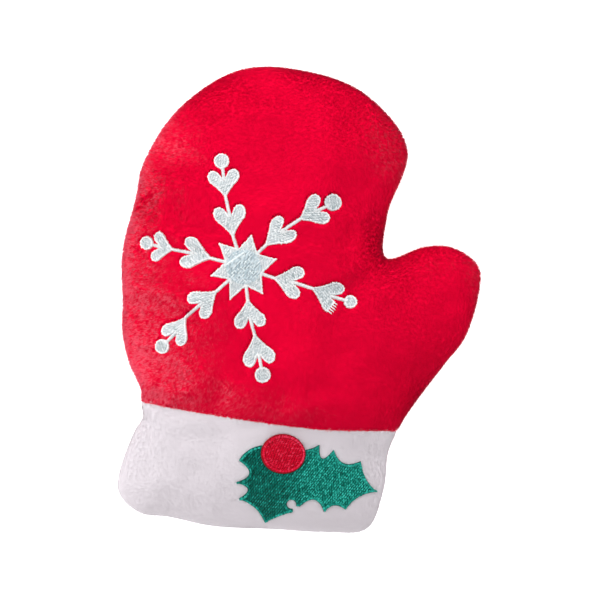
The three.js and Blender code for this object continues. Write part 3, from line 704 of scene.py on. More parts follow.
RED = (0.26, 0.0002, 0.009), (0.84, 0.0006, 0.030), (0.95, 0.0010, 0.043), (1.0, 0.105, 0.170)
WHITE = (0.37, 0.33, 0.36), (0.685, 0.63, 0.67), (0.752, 0.696, 0.738), (0.84, 0.80, 0.83)
MAT_RED = plush("plush_red", *RED, 0.42, (1.0, 0.34, 0.50), True)
MAT_RED_CLOTH = plush("plush_red_backing", *RED, 0.3, (1.0, 0.34, 0.50), False)
MAT_WHITE = plush("plush_white", *WHITE, 0.12, (1, 0.96, 1), True)
MAT_WHITE_CLOTH = plush("plush_white_backing", *WHITE, 0.05, (1, 0.96, 1), False)
MAT_FIBRE = plush("fibre_filling", (0.65, 0.64, 0.60), (0.75, 0.74, 0.70), (0.85, 0.84, 0.80), (0.92, 0.91, 0.88), 0.2, (1, 1, 1), False)
MAT_THREAD_WHITE = thread("thread_white", (0.36, 0.42, 0.44), (0.67, 0.71, 0.73), (0.93, 0.93, 0.935), 0.5, 0.15)
MAT_THREAD_BLUE = thread("thread_blue_grey", (0.33, 0.42, 0.47), (0.57, 0.67, 0.72), (0.88, 0.92, 0.93), 0.5, 0.15)
MAT_THREAD_GREEN = thread("thread_green", (0.0, 0.045, 0.033), (0.0008, 0.20, 0.150), (0.05, 0.66, 0.54), 0.4, 0.10)
MAT_THREAD_RED = thread("thread_red", (0.30, 0.0, 0.009), (0.68, 0.001, 0.028), (0.92, 0.09, 0.19), 0.4, 0.08)

# ------------------------------------------------------------------ embroidery regions


def polar(r, at):
    return np.array([SNOWFLAKE[0] + r * math.cos(math.radians(at)), SNOWFLAKE[1] + r * math.sin(math.radians(at))])


def bezier(p0, p1, p2, p3, n=14):
    t = np.linspace(0, 1, n, endpoint=False)[:, None]
    return (1 - t) ** 3 * p0 + 3 * (1 - t) ** 2 * t * p1 + 3 * (1 - t) * t**2 * p2 + t**3 * p3


def heart_path(p, axis, length, width):
    c, s = math.cos(math.radians(axis)), math.sin(math.radians(axis))
    q = lambda u, v: np.array([p[0] + u * length * c - v * width * s, p[1] + u * length * s + v * width * c])
    runs = [
        ((-0.02, 0), (0.16, -0.07), (0.34, -0.20), (0.56, -0.42)),
        ((0.56, -0.42), (0.74, -0.58), (1.02, -0.50), (1.0, -0.29)),
        ((1.0, -0.29), (0.99, -0.15), (0.82, -0.08), (0.66, 0)),
        ((0.66, 0), (0.82, 0.08), (0.99, 0.15), (1.0, 0.29)),
        ((1.0, 0.29), (1.02, 0.50), (0.74, 0.58), (0.56, 0.42)),
        ((0.56, 0.42), (0.34, 0.20), (0.16, 0.07), (-0.02, 0)),
    ]
    return np.vstack([bezier(*(q(*k) for k in run)) for run in runs])


def disc_path(x, y, rx, ry=None, n=48):
    a = np.linspace(0, 2 * math.pi, n, endpoint=False)
    return np.stack([x + rx * np.cos(a), y + (ry or rx) * np.sin(a)], 1)


def star_path():
    pts = []
    for i, (at, r) in enumerate(STAR_SPIKES):
        nxt = STAR_SPIKES[(i + 1) % len(STAR_SPIKES)]
        gap = (nxt[0] - at) % 360
        pts += [polar(r, at), polar(STAR_NOTCH_RADIUS, at + gap / 2)]
    return np.array(pts)


def leaf_path(rows):
    out = []
    for i, (_, x, y, bow) in enumerate(rows):
        _, bx, by, _ = rows[(i + 1) % len(rows)]
        a, b = np.array([x, y], float), np.array([bx, by], float)
        if not bow:
            out.append(a[None])
            continue
        n = np.array([b[1] - a[1], -(b[0] - a[0])])
        n = n / np.linalg.norm(n) * 2 * bow
        c = (a + b) / 2 + n
        t = np.linspace(0, 1, 16, endpoint=False)[:, None]
        out.append((1 - t) ** 2 * a + 2 * (1 - t) * t * c + t**2 * b)
    return np.vstack(out)


hearts = {(arm, ring): heart_path(polar(r, at), axis, length, width) for arm, ring, r, at, axis, length, width in HEARTS}
heart_info = {(h[0], h[1]): h for h in HEARTS}


def unfinished_lobe(path, info, back_by, spacing, reach):
    """A heart's path with the end of its right-hand lobe cut off, and the loose threads that go on from there."""
    _, _, r_, at, axis, length, width = info
    c, s = math.cos(math.radians(axis)), math.sin(math.radians(axis))
    p = polar(r_, at)
    q = lambda u, v: p + np.array([u * length * c - v * width * s, u * length * s + v * width * c])
    way = q(1.0, -0.34) - q(0.35, -0.18)
    way /= np.linalg.norm(way)
    limit = q(1.0, -0.31) @ way - back_by
    right_hand = (path - p) @ np.array([-s, c]) < -0.03 * width
    over = right_hand & (path @ way > limit)
    kept = path[~over]
    ends = path[over][[0, -1]]
    middle = ends.mean(0) + way * (limit - ends.mean(0) @ way)
    across = np.array([-way[1], way[0]])
    half = abs((ends[0] - ends[1]) @ across) / 2
    places = np.arange(-half + 0.5, half - 0.3, spacing)
    starts = np.array([middle + across * k - way * 1.3 for k in places])
    ends = np.array([middle + across * k * 1.08 + way * (reach - 0.25 * abs(i - 1.4)) for i, k in enumerate(places)])
    return kept, starts, ends


LOOSE_HEART = (3, "outer")
hearts[LOOSE_HEART], LOOSE_FROM, LOOSE_TO = unfinished_lobe(hearts[LOOSE_HEART], heart_info[LOOSE_HEART], 1.9, 0.92, 1.75)
dots = {arm: disc_path(*polar(r, at), radius) for arm, r, at, radius in DOTS}
links = {}
for arm, r, at, radius in DOTS:
    inner, outer = heart_info[(arm, "inner")], heart_info[(arm, "outer")]
    along = lambda h, s: polar(h[2], h[3]) + np.array([math.cos(math.radians(h[4])), math.sin(math.radians(h[4]))]) * h[5] * s
    links[arm] = [
        (polar(STAR_NOTCH_RADIUS - 0.6, inner[3]), along(inner, 0.12)),
        (along(inner, 0.66), along(outer, 0.10)),
        (along(outer, 0.66), polar(r - radius * 0.6, at)),
    ]
STAR = star_path()
HUB = disc_path(*SNOWFLAKE, HUB_RADIUS)
BERRY_PATH = disc_path(BERRY["x"], BERRY["y"], BERRY["rx"], BERRY["ry"])
BITE_PATH = disc_path(BITE["x"], BITE["y"], BITE["radius"], n=28)


def row_point(rows, name, nth=0):
    return np.array([q[1:3] for q in rows if q[0] == name][nth], float)


def without_bite(rows):
    """A leaf's outline with the round bite taken out of it, open where the two leaves part."""
    path = leaf_path(rows)
    k = int(((path - row_point(rows, "bite")) ** 2).sum(1).argmin())
    rest = np.roll(path, -k, 0)[1:]
    keep = ~inside(rest, BITE_PATH)
    rest = rest[keep]
    centre = row_point(rows, "bite")
    a0, a1 = (math.atan2(*(q - centre)[::-1]) for q in (rest[-1], rest[0]))
    turn = (a0 - a1) % (2 * math.pi)
    a = a0 - turn * np.linspace(0, 1, max(6, int(turn * 6)))
    arc = centre + BITE["radius"] * np.stack([np.cos(a), np.sin(a)], 1)
    return np.vstack([rest, arc])


LEAVES = {"left": without_bite(LEAF_LEFT), "right": without_bite(LEAF_RIGHT)}


def bar_path(a, b, width):
    d = (b - a) / np.linalg.norm(b - a) * width / 2
    n = np.array([-d[1], d[0]])
    return np.array([a + n, a - n, b - n, b + n])


def grown(path, by):
    """A path pushed outward by a small distance."""
    t = np.roll(path, -1, 0) - np.roll(path, 1, 0)
    n = np.stack([t[:, 1], -t[:, 0]], 1)
    n /= np.maximum(np.linalg.norm(n, axis=1, keepdims=True), 1e-9)
    a, b = path, np.roll(path, -1, 0)
    if (a[:, 0] * b[:, 1] - a[:, 1] * b[:, 0]).sum() < 0:
        n = -n
    return path + n * by


stitched = [*hearts.values(), *dots.values(), STAR, HUB, *LEAVES.values(), BERRY_PATH]
stitched += [bar_path(a, b, LINK_WIDTH * 0.86) for runs in links.values() for a, b in runs]


def distance_to_stitches():
    """Signed distance on the fine grid: negative under the stitches."""
    field = np.full(HX.size, 9.0)
    x, y = HX.ravel(), HY.ravel()
    for path in stitched:
        lo, hi = path.min(0) - 3, path.max(0) + 3
        ids = np.where((x > lo[0]) & (x < hi[0]) & (y > lo[1]) & (y < hi[1]))[0]
        q = np.stack([x[ids], y[ids]], 1)
        d = path_distance(q, path, True)
        field[ids] = np.minimum(field[ids], np.where(inside(q, path), -d, d))
    return field.reshape(HX.shape)


STITCH_GRID = distance_to_stitches()
STITCH_Y, STITCH_X = np.gradient(STITCH_GRID, FINE)

# ------------------------------------------------------------------ plush panels

NET = 1.6
INSETS = [0.05, 0.2, 0.48, 0.9, 1.5, 2.3, 3.4, 4.7]


def near(p):
    return int(((OUTLINE - p) ** 2).sum(1).argmin())


def arc(i, j):
    n = len(OUTLINE)
    k = (j - i) % n
    return OUTLINE[(i + np.arange(k + 1)) % n]


seam_l, seam_r = near(np.array(CUFF_SEAM[0][1:3])), near(np.array(CUFF_SEAM[-1][1:3]))
hand_edge = resample(arc(seam_l + 1, seam_r - 1), NET, False)
cuff_edge = resample(arc(seam_r + 1, seam_l - 1), NET, False)
seam_mid = resample(SEAM, NET, False)[1:-1]
seam_t = np.gradient(seam_mid, axis=0)
seam_n = np.stack([-seam_t[:, 1], seam_t[:, 0]], 1)
seam_n /= np.linalg.norm(seam_n, axis=1, keepdims=True)
hand_loop = np.vstack([hand_edge, (seam_mid + seam_n * 0.15)[::-1]])
cuff_loop = np.vstack([cuff_edge, seam_mid - seam_n * 0.15])
hand_mask = np.arange(len(hand_loop)) < len(hand_edge)
cuff_mask = np.arange(len(cuff_loop)) < len(cuff_edge)
nets = {
    "hand": flat_net(hand_loop, hand_mask, NET, INSETS),
    "cuff": flat_net(cuff_loop, cuff_mask, NET, INSETS),
}


def panel(part, side):
    """Outer cloth surface of one panel: points, triangles facing out, normals and how much each faces up."""
    xy, tri = nets[part]
    d = path_distance(xy, OUTLINE, True)
    d[d < 0.02] = 0
    front, back, zs = heights(xy[:, 0], xy[:, 1], d)
    z = front if side == "front" else back
    t = tri if side == "front" else tri[:, ::-1]
    p = np.column_stack([xy, z])
    n = vertex_normals(p, t)
    # level at the sewn edge
    edge = d == 0
    e = np.zeros_like(n)
    q = xy[edge]
    idx = np.array([near(v) for v in q])
    tang = OUTLINE[(idx + 2) % len(OUTLINE)] - OUTLINE[(idx - 2) % len(OUTLINE)]
    out = np.stack([-tang[:, 1], tang[:, 0]], 1)
    out /= np.linalg.norm(out, axis=1, keepdims=True)
    flip = inside(q + out * 0.2, OUTLINE)
    out[flip] = -out[flip]
    n[edge, :2] = out
    n[edge, 2] = 0
    return p, t, n, d


PILE_CLEAR = 0.0


def cloth_offset(n, part, side):
    """How far the woven backing lies from the skin's outer surface."""
    if side == "front":
        return SIDE_CLOTH + CLOTH_UP[part] * smooth((n[:, 2] - 0.2) / 0.5)
    return np.full(len(n), SIDE_CLOTH)


SIDE_CLOTH = -0.38
CLOTH_UP = {"hand": -0.08, "cuff": 0.44}
NAP = math.radians(-105)
# per part: random tilt of the pile, extra tilt where there is painted sheen, random tone, painted shade at the foot of
# the pile, and the strength of painted sheen and of painted shadow at the foot of the motifs
UNEVEN = {
    "hand": dict(tilt=0.025, sheen_zone=0.44, shade=0.02, foot=0.05, sheen_paint=0.50, edge=0.40),
    "cuff": dict(tilt=0.01, sheen_zone=0.0, shade=0.01, foot=0.0, sheen_paint=0.0, edge=0.12),
}


def hashed(key, salt):
    """A repeatable number from 0 to 1 for each cell."""
    h = (key[:, 0] * 73856093) ^ (key[:, 1] * 19349663) ^ (key[:, 2] * 83492791) ^ (salt * 2654435761)
    h = (h ^ (h >> 13)) * 1274126177 & 0x7FFFFFFF
    return ((h >> 7) % 65521) / 65521


def spikes(root, nn, direction, length, width, floor=None):
    """Slim closed spikes: three corners in the cloth and a tip."""
    m = len(root)
    side_v = np.cross(nn, direction)
    bad = np.linalg.norm(side_v, axis=1) < 1e-4
    side_v[bad] = np.cross(nn[bad], [1.0, 0.13, 0.05])
    side_v /= np.linalg.norm(side_v, axis=1, keepdims=True)
    fore = np.cross(side_v, nn)
    base = root - nn * 0.10
    w = width[:, None]
    v0 = base + side_v * w * 0.5 - fore * w * 0.3
    v1 = base - side_v * w * 0.5 - fore * w * 0.3
    v2 = base + fore * w * 0.5
    tip = root + direction * length[:, None]
    verts = np.stack([v0, v1, v2, tip], 1)
    if floor is not None:
        verts[:, :3, 2] = np.maximum(verts[:, :3, 2], floor)
        verts[:, 3, 2] = np.maximum(verts[:, 3, 2], floor + 0.02)
    f0 = np.cross(verts[:, 2] - verts[:, 0], verts[:, 1] - verts[:, 0])
    wrong = (f0 * nn).sum(1) > 0
    verts[wrong] = verts[wrong][:, [1, 0, 2, 3]]
    i = np.arange(m, dtype=np.int32)[:, None] * 4
    faces = np.stack([i + [0, 2, 1], i + [0, 1, 3], i + [1, 2, 3], i + [2, 0, 3]], 1).reshape(-1, 3)
    return verts.reshape(-1, 3), faces


def pile(part, side, p, tri, n, density, length, width, seed):
    """Short leaning tufts over a panel. Returns vertices, faces, shade and the normals to shade them by."""
    r = np.random.default_rng(seed)
    a, b, c = p[tri[:, 0]], p[tri[:, 1]], p[tri[:, 2]]
    area = np.linalg.norm(np.cross(b - a, c - a), axis=1) / 2
    count = np.floor(area * density + r.random(len(area))).astype(int)
    face = np.repeat(np.arange(len(tri)), count)
    w = r.dirichlet((1, 1, 1), len(face))
    t = tri[face]
    root = (p[t] * w[..., None]).sum(1)
    nn = (n[t] * w[..., None]).sum(1)
    nn /= np.linalg.norm(nn, axis=1, keepdims=True)
    if side == "front":
        ok = on_fine(STITCH_GRID, root[:, 0], root[:, 1]) > PILE_CLEAR
        root, nn = root[ok], nn[ok]
    m = len(root)
    x, y = root[:, 0], root[:, 1]
    turn = 0.5 * np.sin(x / 9.0 + 1.7 * np.sin(y / 13.0)) + 0.4 * np.sin(y / 7.0 + x / 17.0)
    ang = NAP + turn + r.normal(0, 0.35, m)
    flow = np.stack([np.cos(ang), np.sin(ang), np.zeros(m)], 1)
    flow -= nn * (flow * nn).sum(1, keepdims=True)
    flow /= np.maximum(np.linalg.norm(flow, axis=1, keepdims=True), 1e-6)
    across = np.cross(nn, flow)
    # each small clump leans its own way
    key = np.floor(root / 0.95 + 0.35 * np.sin(root[:, [1, 2, 0]] * 2.1)).astype(np.int64)
    tilt_a = (hashed(key, 1) - 0.5)[:, None]
    tilt_b = (hashed(key, 2) - 0.5)[:, None]
    sheen_amount = sheen_zone(x, y, nn) if side == "front" and UNEVEN[part]["sheen_paint"] else np.full(m, 0.25)
    calm = np.minimum(0.30 + 1.5 * sheen_amount, 1.2)[:, None]
    upright = (1.35 - 0.75 * np.minimum(1.6 * sheen_amount, 1))[:, None] if part == "hand" else 1.0
    lean = flow * (PILE[part]["lean"] * upright + 0.5 * calm * tilt_a) + across * 0.5 * calm * tilt_b
    lean += (flow * r.normal(0, 0.12, (m, 1)) + across * r.normal(0, 0.15, (m, 1))) * np.minimum(calm, 1)
    lean *= 1 + 1.2 * (1 - smooth(np.abs(nn[:, 2:3]) / 0.45))   # lies flat where the plush rolls over
    direction = nn + lean
    direction /= np.linalg.norm(direction, axis=1, keepdims=True)
    # the stitches hold the pile down, so that it slopes to them
    pull = np.zeros((m, 3))
    if side == "front":
        away = on_fine(STITCH_GRID, x, y)
        slope = 0.8 * np.exp(-((np.maximum(away, 0) / 0.75) ** 2))
        pull[:, 0], pull[:, 1] = -slope * on_fine(STITCH_X, x, y), -slope * on_fine(STITCH_Y, x, y)
        length = length * (0.88 + 0.12 * smooth(away / 1.1))
    verts, faces = spikes(root, nn, direction, length * r.uniform(0.85, 1.08, m), width * r.uniform(0.8, 1.2, m), 0.0 if side == "back" else None)
    rough = UNEVEN[part]
    uneven = np.full(m, rough["tilt"])
    bright = rough["shade"] * r.normal(0, 1, m)
    # painted sheen: the pile on the front of the hand is painted paler where the light catches it
    sheen_paint = side == "front" and rough["sheen_paint"] > 0
    if sheen_paint:
        uneven += rough["sheen_zone"] * np.minimum(sheen_amount, 0.8)
        bright += rough["sheen_paint"] * sheen_amount * unlike(x, y)
    tilt = 2 * uneven[:, None] * (flow * tilt_a + across * tilt_b)
    if sheen_paint:
        # painted highlight: a clump whose shading normal tilts to the light is painted paler
        bright += 1.5 * np.minimum(sheen_amount, 0.6) * (tilt @ np.array([-0.55, 0.75, 0.2]))
        bright = np.maximum(bright, -0.10)
    # painted shade along the creases where the pile parts
    if side == "front":
        bright -= crease_shade(x, y)
    shaded = nn + pull + tilt
    shaded /= np.linalg.norm(shaded, axis=1, keepdims=True)
    # painted shade: the three corners at the foot of each spike are darker than its tip
    shade = np.stack([0.36 + bright - rough["foot"]] * 3 + [0.40 + bright], 1)
    if side == "front":
        # painted shadow at the foot of each motif, most on its upper-left side, where the pile wall faces away from
        # the light
        for corners, place in (([0, 1, 2], root), ([3], verts.reshape(-1, 4, 3)[:, 3])):
            u, v = place[:, 0], place[:, 1]
            gx_, gy_ = on_fine(STITCH_X, u, v), on_fine(STITCH_Y, u, v)
            shadow_side = 0.5 + 0.5 * (gy_ * 0.62 - gx_ * 0.77) / np.maximum(np.hypot(gx_, gy_), 1e-6)
            gap = np.maximum(on_fine(STITCH_GRID, u, v), 0)
            shade[:, corners] -= (rough["edge"] * np.exp(-((gap / 0.95) ** 4)) * (0.15 + 0.85 * shadow_side))[:, None]
    return verts, faces, shade.ravel(), np.repeat(shaded, 4, 0)


# painted sheen, patches where the pile is painted paler pink as if lit: where, x, y, heading, half length, half width,
# strength
PAINTED_SHEEN = [
    ("left_side", -66, -4, 88, 40, 13, 0.50),
    ("lower_left", -48, -28, 60, 26, 19, 0.50),
    ("left_top", -52, 52, 60, 26, 10, 0.22),
    ("right_of_top", 29, 63, 125, 20, 12, 0.40),
    ("above_seam", -12, -40, 178, 34, 9, 0.30),
    ("middle_left", -40, 0, 80, 30, 14, 0.16),
    ("thumb_top", 52, 20, 10, 18, 8, 0.20),
    ("thumb_tip", 68, 12, 100, 16, 4, 0.28),
    ("right_of_middle", 12, 4, 60, 22, 12, 0.14),
]
# painted crease shade, where the pile is painted darker along a crease: where, x, y, heading, half length, half width,
# strength
CREASE_SHADE = [
    ("left_pinch", -62.2, 33.0, 36, 3.4, 0.75, 0.75),
    ("left_pinch_below", -64.0, 29.4, 36, 3.6, 0.70, 0.65),
    ("thumb_crotch", 30.5, 16.5, 235, 5.5, 1.3, 0.12),
]


def patches(rows, x, y):
    total = np.zeros_like(x)
    for _, fx, fy, heading, hl, hw, strength in rows:
        c, s = math.cos(math.radians(heading)), math.sin(math.radians(heading))
        along, across = (x - fx) * c + (y - fy) * s, -(x - fx) * s + (y - fy) * c
        total += strength * np.exp(-((along / hl) ** 2) - (across / hw) ** 2)
    return total


def crease_shade(x, y):
    return patches(CREASE_SHADE, x, y)


def sheen_zone(x, y, nn):
    """How much painted sheen the pile gets, a paler pink where it faces the light from the left, where it rolls over
    and in the listed patches; the pile also stands more upright there.
    """
    total = 0.60 * smooth((-nn[:, 0] * 0.95 - nn[:, 1] * 0.3 - 0.25) / 0.6)
    total += 0.16 * smooth((0.45 - nn[:, 2]) / 0.35)
    return total + patches(PAINTED_SHEEN, x, y)


def unlike(x, y):
    """Fine streaks and specks, 1 on the average."""
    c, s = math.cos(NAP + 0.35), math.sin(NAP + 0.35)
    u, v = x * c + y * s, -x * s + y * c
    cell = lambda a, b, salt: hashed(np.stack([np.floor(a), np.floor(b), np.zeros(len(x))], 1).astype(np.int64), salt)
    streak = cell(u / 1.5 + 0.6 * np.sin(v * 1.9), v / 0.8, 5)
    speck = cell(x / 0.75, y / 0.75, 6)
    foot = cell(x / 0.6 + 0.4, y / 0.55 + 0.3, 7) > 0.84
    return 0.95 + 0.70 * (streak + speck - 1.0) - 0.15 * foot


made = []


def finish_piece(ob, mat, slot, *nodes, padded=None):
    ob.data.materials.append(mat)
    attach(ob, "root")
    if nodes:
        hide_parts(*nodes)
    made.append(ob)
    return ob


skins = {}
for part, mat, slot in (("hand", MAT_RED_CLOTH, "plush_red"), ("cuff", MAT_WHITE_CLOTH, "plush_white")):
    for side in ("front", "back"):
        p, tri, n, d = panel(part, side)
        off = cloth_offset(n, part, side)
        outer = p + n * off[:, None]
        inner = p + n * (off - 0.9)[:, None]
        if side == "back":
            outer[:, 2] = np.maximum(outer[:, 2], 0.6)
            inner[:, 2] = np.maximum(inner[:, 2], 1.5)
        skins[part, side] = (outer, tri, n)
        v, f = shell(outer, inner, tri)
        ob = make_mesh(f"plush_{part}_{side}", v, f)
        finish_piece(ob, mat, slot, f"{part}_{side}", padded=0.75)

DENSITY = {("hand", "front"): 6.3, ("hand", "back"): 1.1, ("cuff", "front"): 5.8, ("cuff", "back"): 1.1}
MOST = 48000   # strands in one piece
for (part, side), dens in DENSITY.items():
    outer, tri, n = skins[part, side]
    v, f, sh, nor = pile(part, side, outer, tri, n, dens, PILE[part]["length"], PILE[part]["width"], 11 + len(made))
    strands = len(v) // 4
    # in bands from the cuff up, so that no piece is too large
    order = np.argsort(v.reshape(-1, 4, 3)[:, 0, 1])
    bands = np.array_split(order, max(1, math.ceil(strands / MOST)))
    for k, ids in enumerate(bands):
        corner = (ids[:, None] * 4 + np.arange(4)).ravel()
        quads = np.arange(len(ids))[:, None, None] * 4 + np.array([[0, 2, 1], [0, 1, 3], [1, 2, 3], [2, 0, 3]])
        ob = make_mesh(f"pile_{part}_{side}" + (f"_{k + 1}" if len(bands) > 1 else ""), v[corner], quads.reshape(-1, 3), shade=sh[corner], normals=nor[corner])
        finish_piece(ob, MAT_RED if part == "hand" else MAT_WHITE, "plush_red" if part == "hand" else "plush_white")


def seam_tufts(name, path, away, nn_up, spacing, length, mat, slot, seed):
    """Small tufts of pile that stand over the cuff seam, so that its edge looks fine-toothed."""
    r = np.random.default_rng(seed)
    q = resample(path, spacing, False)[1:-1]
    q = q + away * r.uniform(0.10, 0.35, (len(q), 1))
    many = 9
    root = np.repeat(q, many, 0) + r.normal(0, 0.16, (len(q) * many, 2))
    size = np.repeat(r.uniform(0.35, 1.15, len(q)), many)
    swing = np.repeat(r.normal(0, 0.35, len(q)), many) + r.normal(0, 0.25, len(root))
    pos, nn = front_at(root[:, 0], root[:, 1], np.full(len(root), nn_up))
    down = np.column_stack([np.sin(swing), -np.sign(away[1]) * np.cos(swing), np.zeros(len(root))])
    down -= nn * (down * nn).sum(1, keepdims=True)
    down /= np.linalg.norm(down, axis=1, keepdims=True)
    direction = nn * 0.55 + down
    direction /= np.linalg.norm(direction, axis=1, keepdims=True)
    v, f = spikes(pos, nn, direction, length * size * r.uniform(0.8, 1.1, len(root)), np.full(len(root), 0.26))
    bright = 0.06 * r.normal(0, 1, len(root))
    # painted shade: each tuft is darker at its foot than at its tip
    sh = np.stack([0.26 + bright] * 3 + [0.42 + bright], 1).ravel()
    ob = make_mesh(name, v, f, shade=sh, normals=np.repeat(nn, 4, 0))
    finish_piece(ob, mat, slot)


seam_tufts("seam_tufts_red", SEAM, np.array([0.0, 1.0]), -0.1, 0.5, 0.8, MAT_RED, "plush_red", 71)
seam_tufts("seam_tufts_white", SEAM, np.array([0.0, -1.0]), -0.3, 0.7, 0.8, MAT_WHITE, "plush_white", 72)

# ------------------------------------------------------------------ embroidery


def stitches(starts, ends, half_width, height, lift, arch, shade, sides=5):
    """Threads laid from start to end over the front, each a closed rounded strand that dips in at both ends."""
    starts, ends = np.asarray(starts, float), np.asarray(ends, float)
    m = len(starts)
    ts = np.array([0.0, 0.2, 0.8, 1.0])
    k = len(ts)
    ln = np.linalg.norm(ends - starts, axis=1)
    xy = starts[:, None] + (ends - starts)[:, None] * ts[None, :, None]
    prof = np.array([0.0, 1.0, 1.0, 0.0])
    up = lift + prof[None] * arch - (1 - prof[None]) * 0.28 + np.zeros((m, 1))
    pts, nn = front_at(xy[..., 0].ravel(), xy[..., 1].ravel(), up.ravel())
    pts, nn = pts.reshape(m, k, 3), nn.reshape(m, k, 3)
    d = ends - starts
    d = np.column_stack([d, np.zeros(m)]) / np.maximum(ln, 1e-6)[:, None]
    sidev = np.cross(nn, d[:, None, :])
    sidev /= np.maximum(np.linalg.norm(sidev, axis=2, keepdims=True), 1e-9)
    grow = np.array([0.5, 1.0, 1.0, 0.5])
    a = np.linspace(0, 2 * math.pi, sides, endpoint=False)
    ring = (
        pts[:, :, None, :]
        + sidev[:, :, None, :] * (np.cos(a)[None, None, :, None] * (half_width * grow)[None, :, None, None])
        + nn[:, :, None, :] * (np.sin(a)[None, None, :, None] * (height * grow)[None, :, None, None])
    )
    verts = ring.reshape(-1, 3)
    one = []
    for s in range(k - 1):
        for q in range(sides):
            q2 = (q + 1) % sides
            a0, a1, b0, b1 = s * sides + q, s * sides + q2, (s + 1) * sides + q, (s + 1) * sides + q2
            one += [[a0, a1, b1], [a0, b1, b0]]
    for q in range(1, sides - 1):
        e = (k - 1) * sides
        one += [[0, q + 1, q], [e, e + q, e + q + 1]]
    one = np.array(one)
    vv = verts[one]
    if np.einsum("ij,ij->i", vv[:, 0] - verts[0], np.cross(vv[:, 1] - verts[0], vv[:, 2] - verts[0])).sum() < 0:
        one = one[:, ::-1]
    f = (np.arange(m)[:, None, None] * k * sides + one[None]).reshape(-1, 3)
    sh = np.repeat(np.asarray(shade, float) + np.zeros(m), k * sides)
    return verts, f, sh


def spans_across(q, holes, v):
    """Where a level line at height v lies inside a path and outside its holes."""
    cuts = []
    for poly in [q] + holes:
        a, b = poly, np.roll(poly, -1, 0)
        hit = (a[:, 1] > v) != (b[:, 1] > v)
        cuts.append(np.sort(a[hit, 0] + (v - a[hit, 1]) * (b[hit, 0] - a[hit, 0]) / (b[hit, 1] - a[hit, 1])))
    spans = [[cuts[0][i], cuts[0][i + 1]] for i in range(0, len(cuts[0]) - 1, 2)]
    for hole in cuts[1:]:
        for i in range(0, len(hole) - 1, 2):
            lo, hi = hole[i], hole[i + 1]
            new = []
            for x0, x1 in spans:
                if hi <= x0 or lo >= x1:
                    new.append([x0, x1])
                    continue
                if lo > x0:
                    new.append([x0, lo])
                if hi < x1:
                    new.append([hi, x1])
            spans = new
    return spans


def fill_lines(path, heading, pitch, stitch, r, holes=(), stagger=3, wander=0.03):
    """Parallel rows of stitches clipped to a path, and +1 or -1 for each stitch by its row."""
    c, s = math.cos(math.radians(heading)), math.sin(math.radians(heading))
    rot = np.array([[c, s], [-s, c]])
    q = path @ rot.T
    hole_q = [h @ rot.T for h in holes]
    starts, ends, turns = [], [], []
    for row, v in enumerate(np.arange(q[:, 1].min() + pitch / 2, q[:, 1].max(), pitch)):
        for x0, x1 in spans_across(q, hole_q, v):
            if x1 - x0 < 0.45:
                continue
            shift = (row % stagger) / stagger * stitch + r.normal(0, 0.1 * stitch)
            first = math.floor((x0 - shift) / stitch) * stitch + shift
            marks = [x0] + [t for t in np.arange(first, x1, stitch) if x0 + 0.45 < t < x1 - 0.45] + [x1]
            for t0, t1 in zip(marks[:-1], marks[1:]):
                starts.append((t0, v + r.normal(0, wander)))
                ends.append((t1, v + r.normal(0, wander)))
                turns.append(1 - 2 * (row % 2))
    if not starts:
        return np.zeros((0, 2)), np.zeros((0, 2)), np.zeros(0)
    return np.array(starts) @ rot, np.array(ends) @ rot, np.array(turns)


def satin_edge(path, pitch, width, r, closed=True, outside=0.0, slant=0.25, ragged=0.13, whole=None):
    """Short stitches across the border of a path."""
    p = resample(path, pitch, closed)
    if closed:
        t = np.roll(p, -2, 0) - np.roll(p, 2, 0)
        a, b = p, np.roll(p, -1, 0)
        turn = (a[:, 0] * b[:, 1] - a[:, 1] * b[:, 0]).sum()
    else:
        t = np.gradient(p, axis=0)
        turn = 1.0
    n = np.stack([t[:, 1], -t[:, 0]], 1)
    n /= np.maximum(np.linalg.norm(n, axis=1, keepdims=True), 1e-9)
    if turn < 0:
        n = -n
    tt = t / np.maximum(np.linalg.norm(t, axis=1, keepdims=True), 1e-9)
    m = (len(p), 1)
    room = abs(width)
    if closed and width > 0:
        room = np.minimum(width, 0.62 * depth_inside(p, -n, p))[:, None]
    elif whole is not None:
        room = np.minimum(width, 0.62 * depth_inside(p, -n, whole))[:, None]
    if width < 0:
        room = -room
    out = outside + r.normal(0, ragged, m)
    return p + n * np.maximum(out, -0.5 * np.abs(room)) if width > 0 else p + n * out, p - n * (room + r.normal(0, ragged * 0.6, m)) + tt * slant * np.minimum(1, np.abs(room))


def depth_inside(p, direction, poly):
    """How far each point can go along its direction before it meets the path again."""
    a, b = poly, np.roll(poly, -1, 0)
    e = b - a
    best = np.full(len(p), 50.0)
    for i in range(0, len(p), 500):
        q, d = p[i : i + 500, None, :], direction[i : i + 500, None, :]
        det = d[..., 0] * e[None, :, 1] - d[..., 1] * e[None, :, 0]
        det = np.where(np.abs(det) < 1e-9, 1e-9, det)
        w = a[None] - q
        t = (w[..., 0] * e[None, :, 1] - w[..., 1] * e[None, :, 0]) / det
        u = (w[..., 0] * d[..., 1] - w[..., 1] * d[..., 0]) / det
        ok = (t > 0.12) & (u >= 0) & (u <= 1)
        best[i : i + 500] = np.where(ok, t, 50.0).min(1)
    return best


def satin_bar(a, b, width, pitch, r):
    n = max(2, int(np.linalg.norm(b - a) / pitch))
    t = np.linspace(0, 1, n)[:, None]
    c = a + (b - a) * t
    d = (b - a) / np.linalg.norm(b - a)
    s = np.array([-d[1], d[0]]) * width / 2
    j, k = r.normal(0, 0.10, (n, 1)), r.normal(0, 0.10, (n, 1))
    return c + s * (1 + j) + d * 0.14, c - s * (1 + k) - d * 0.14


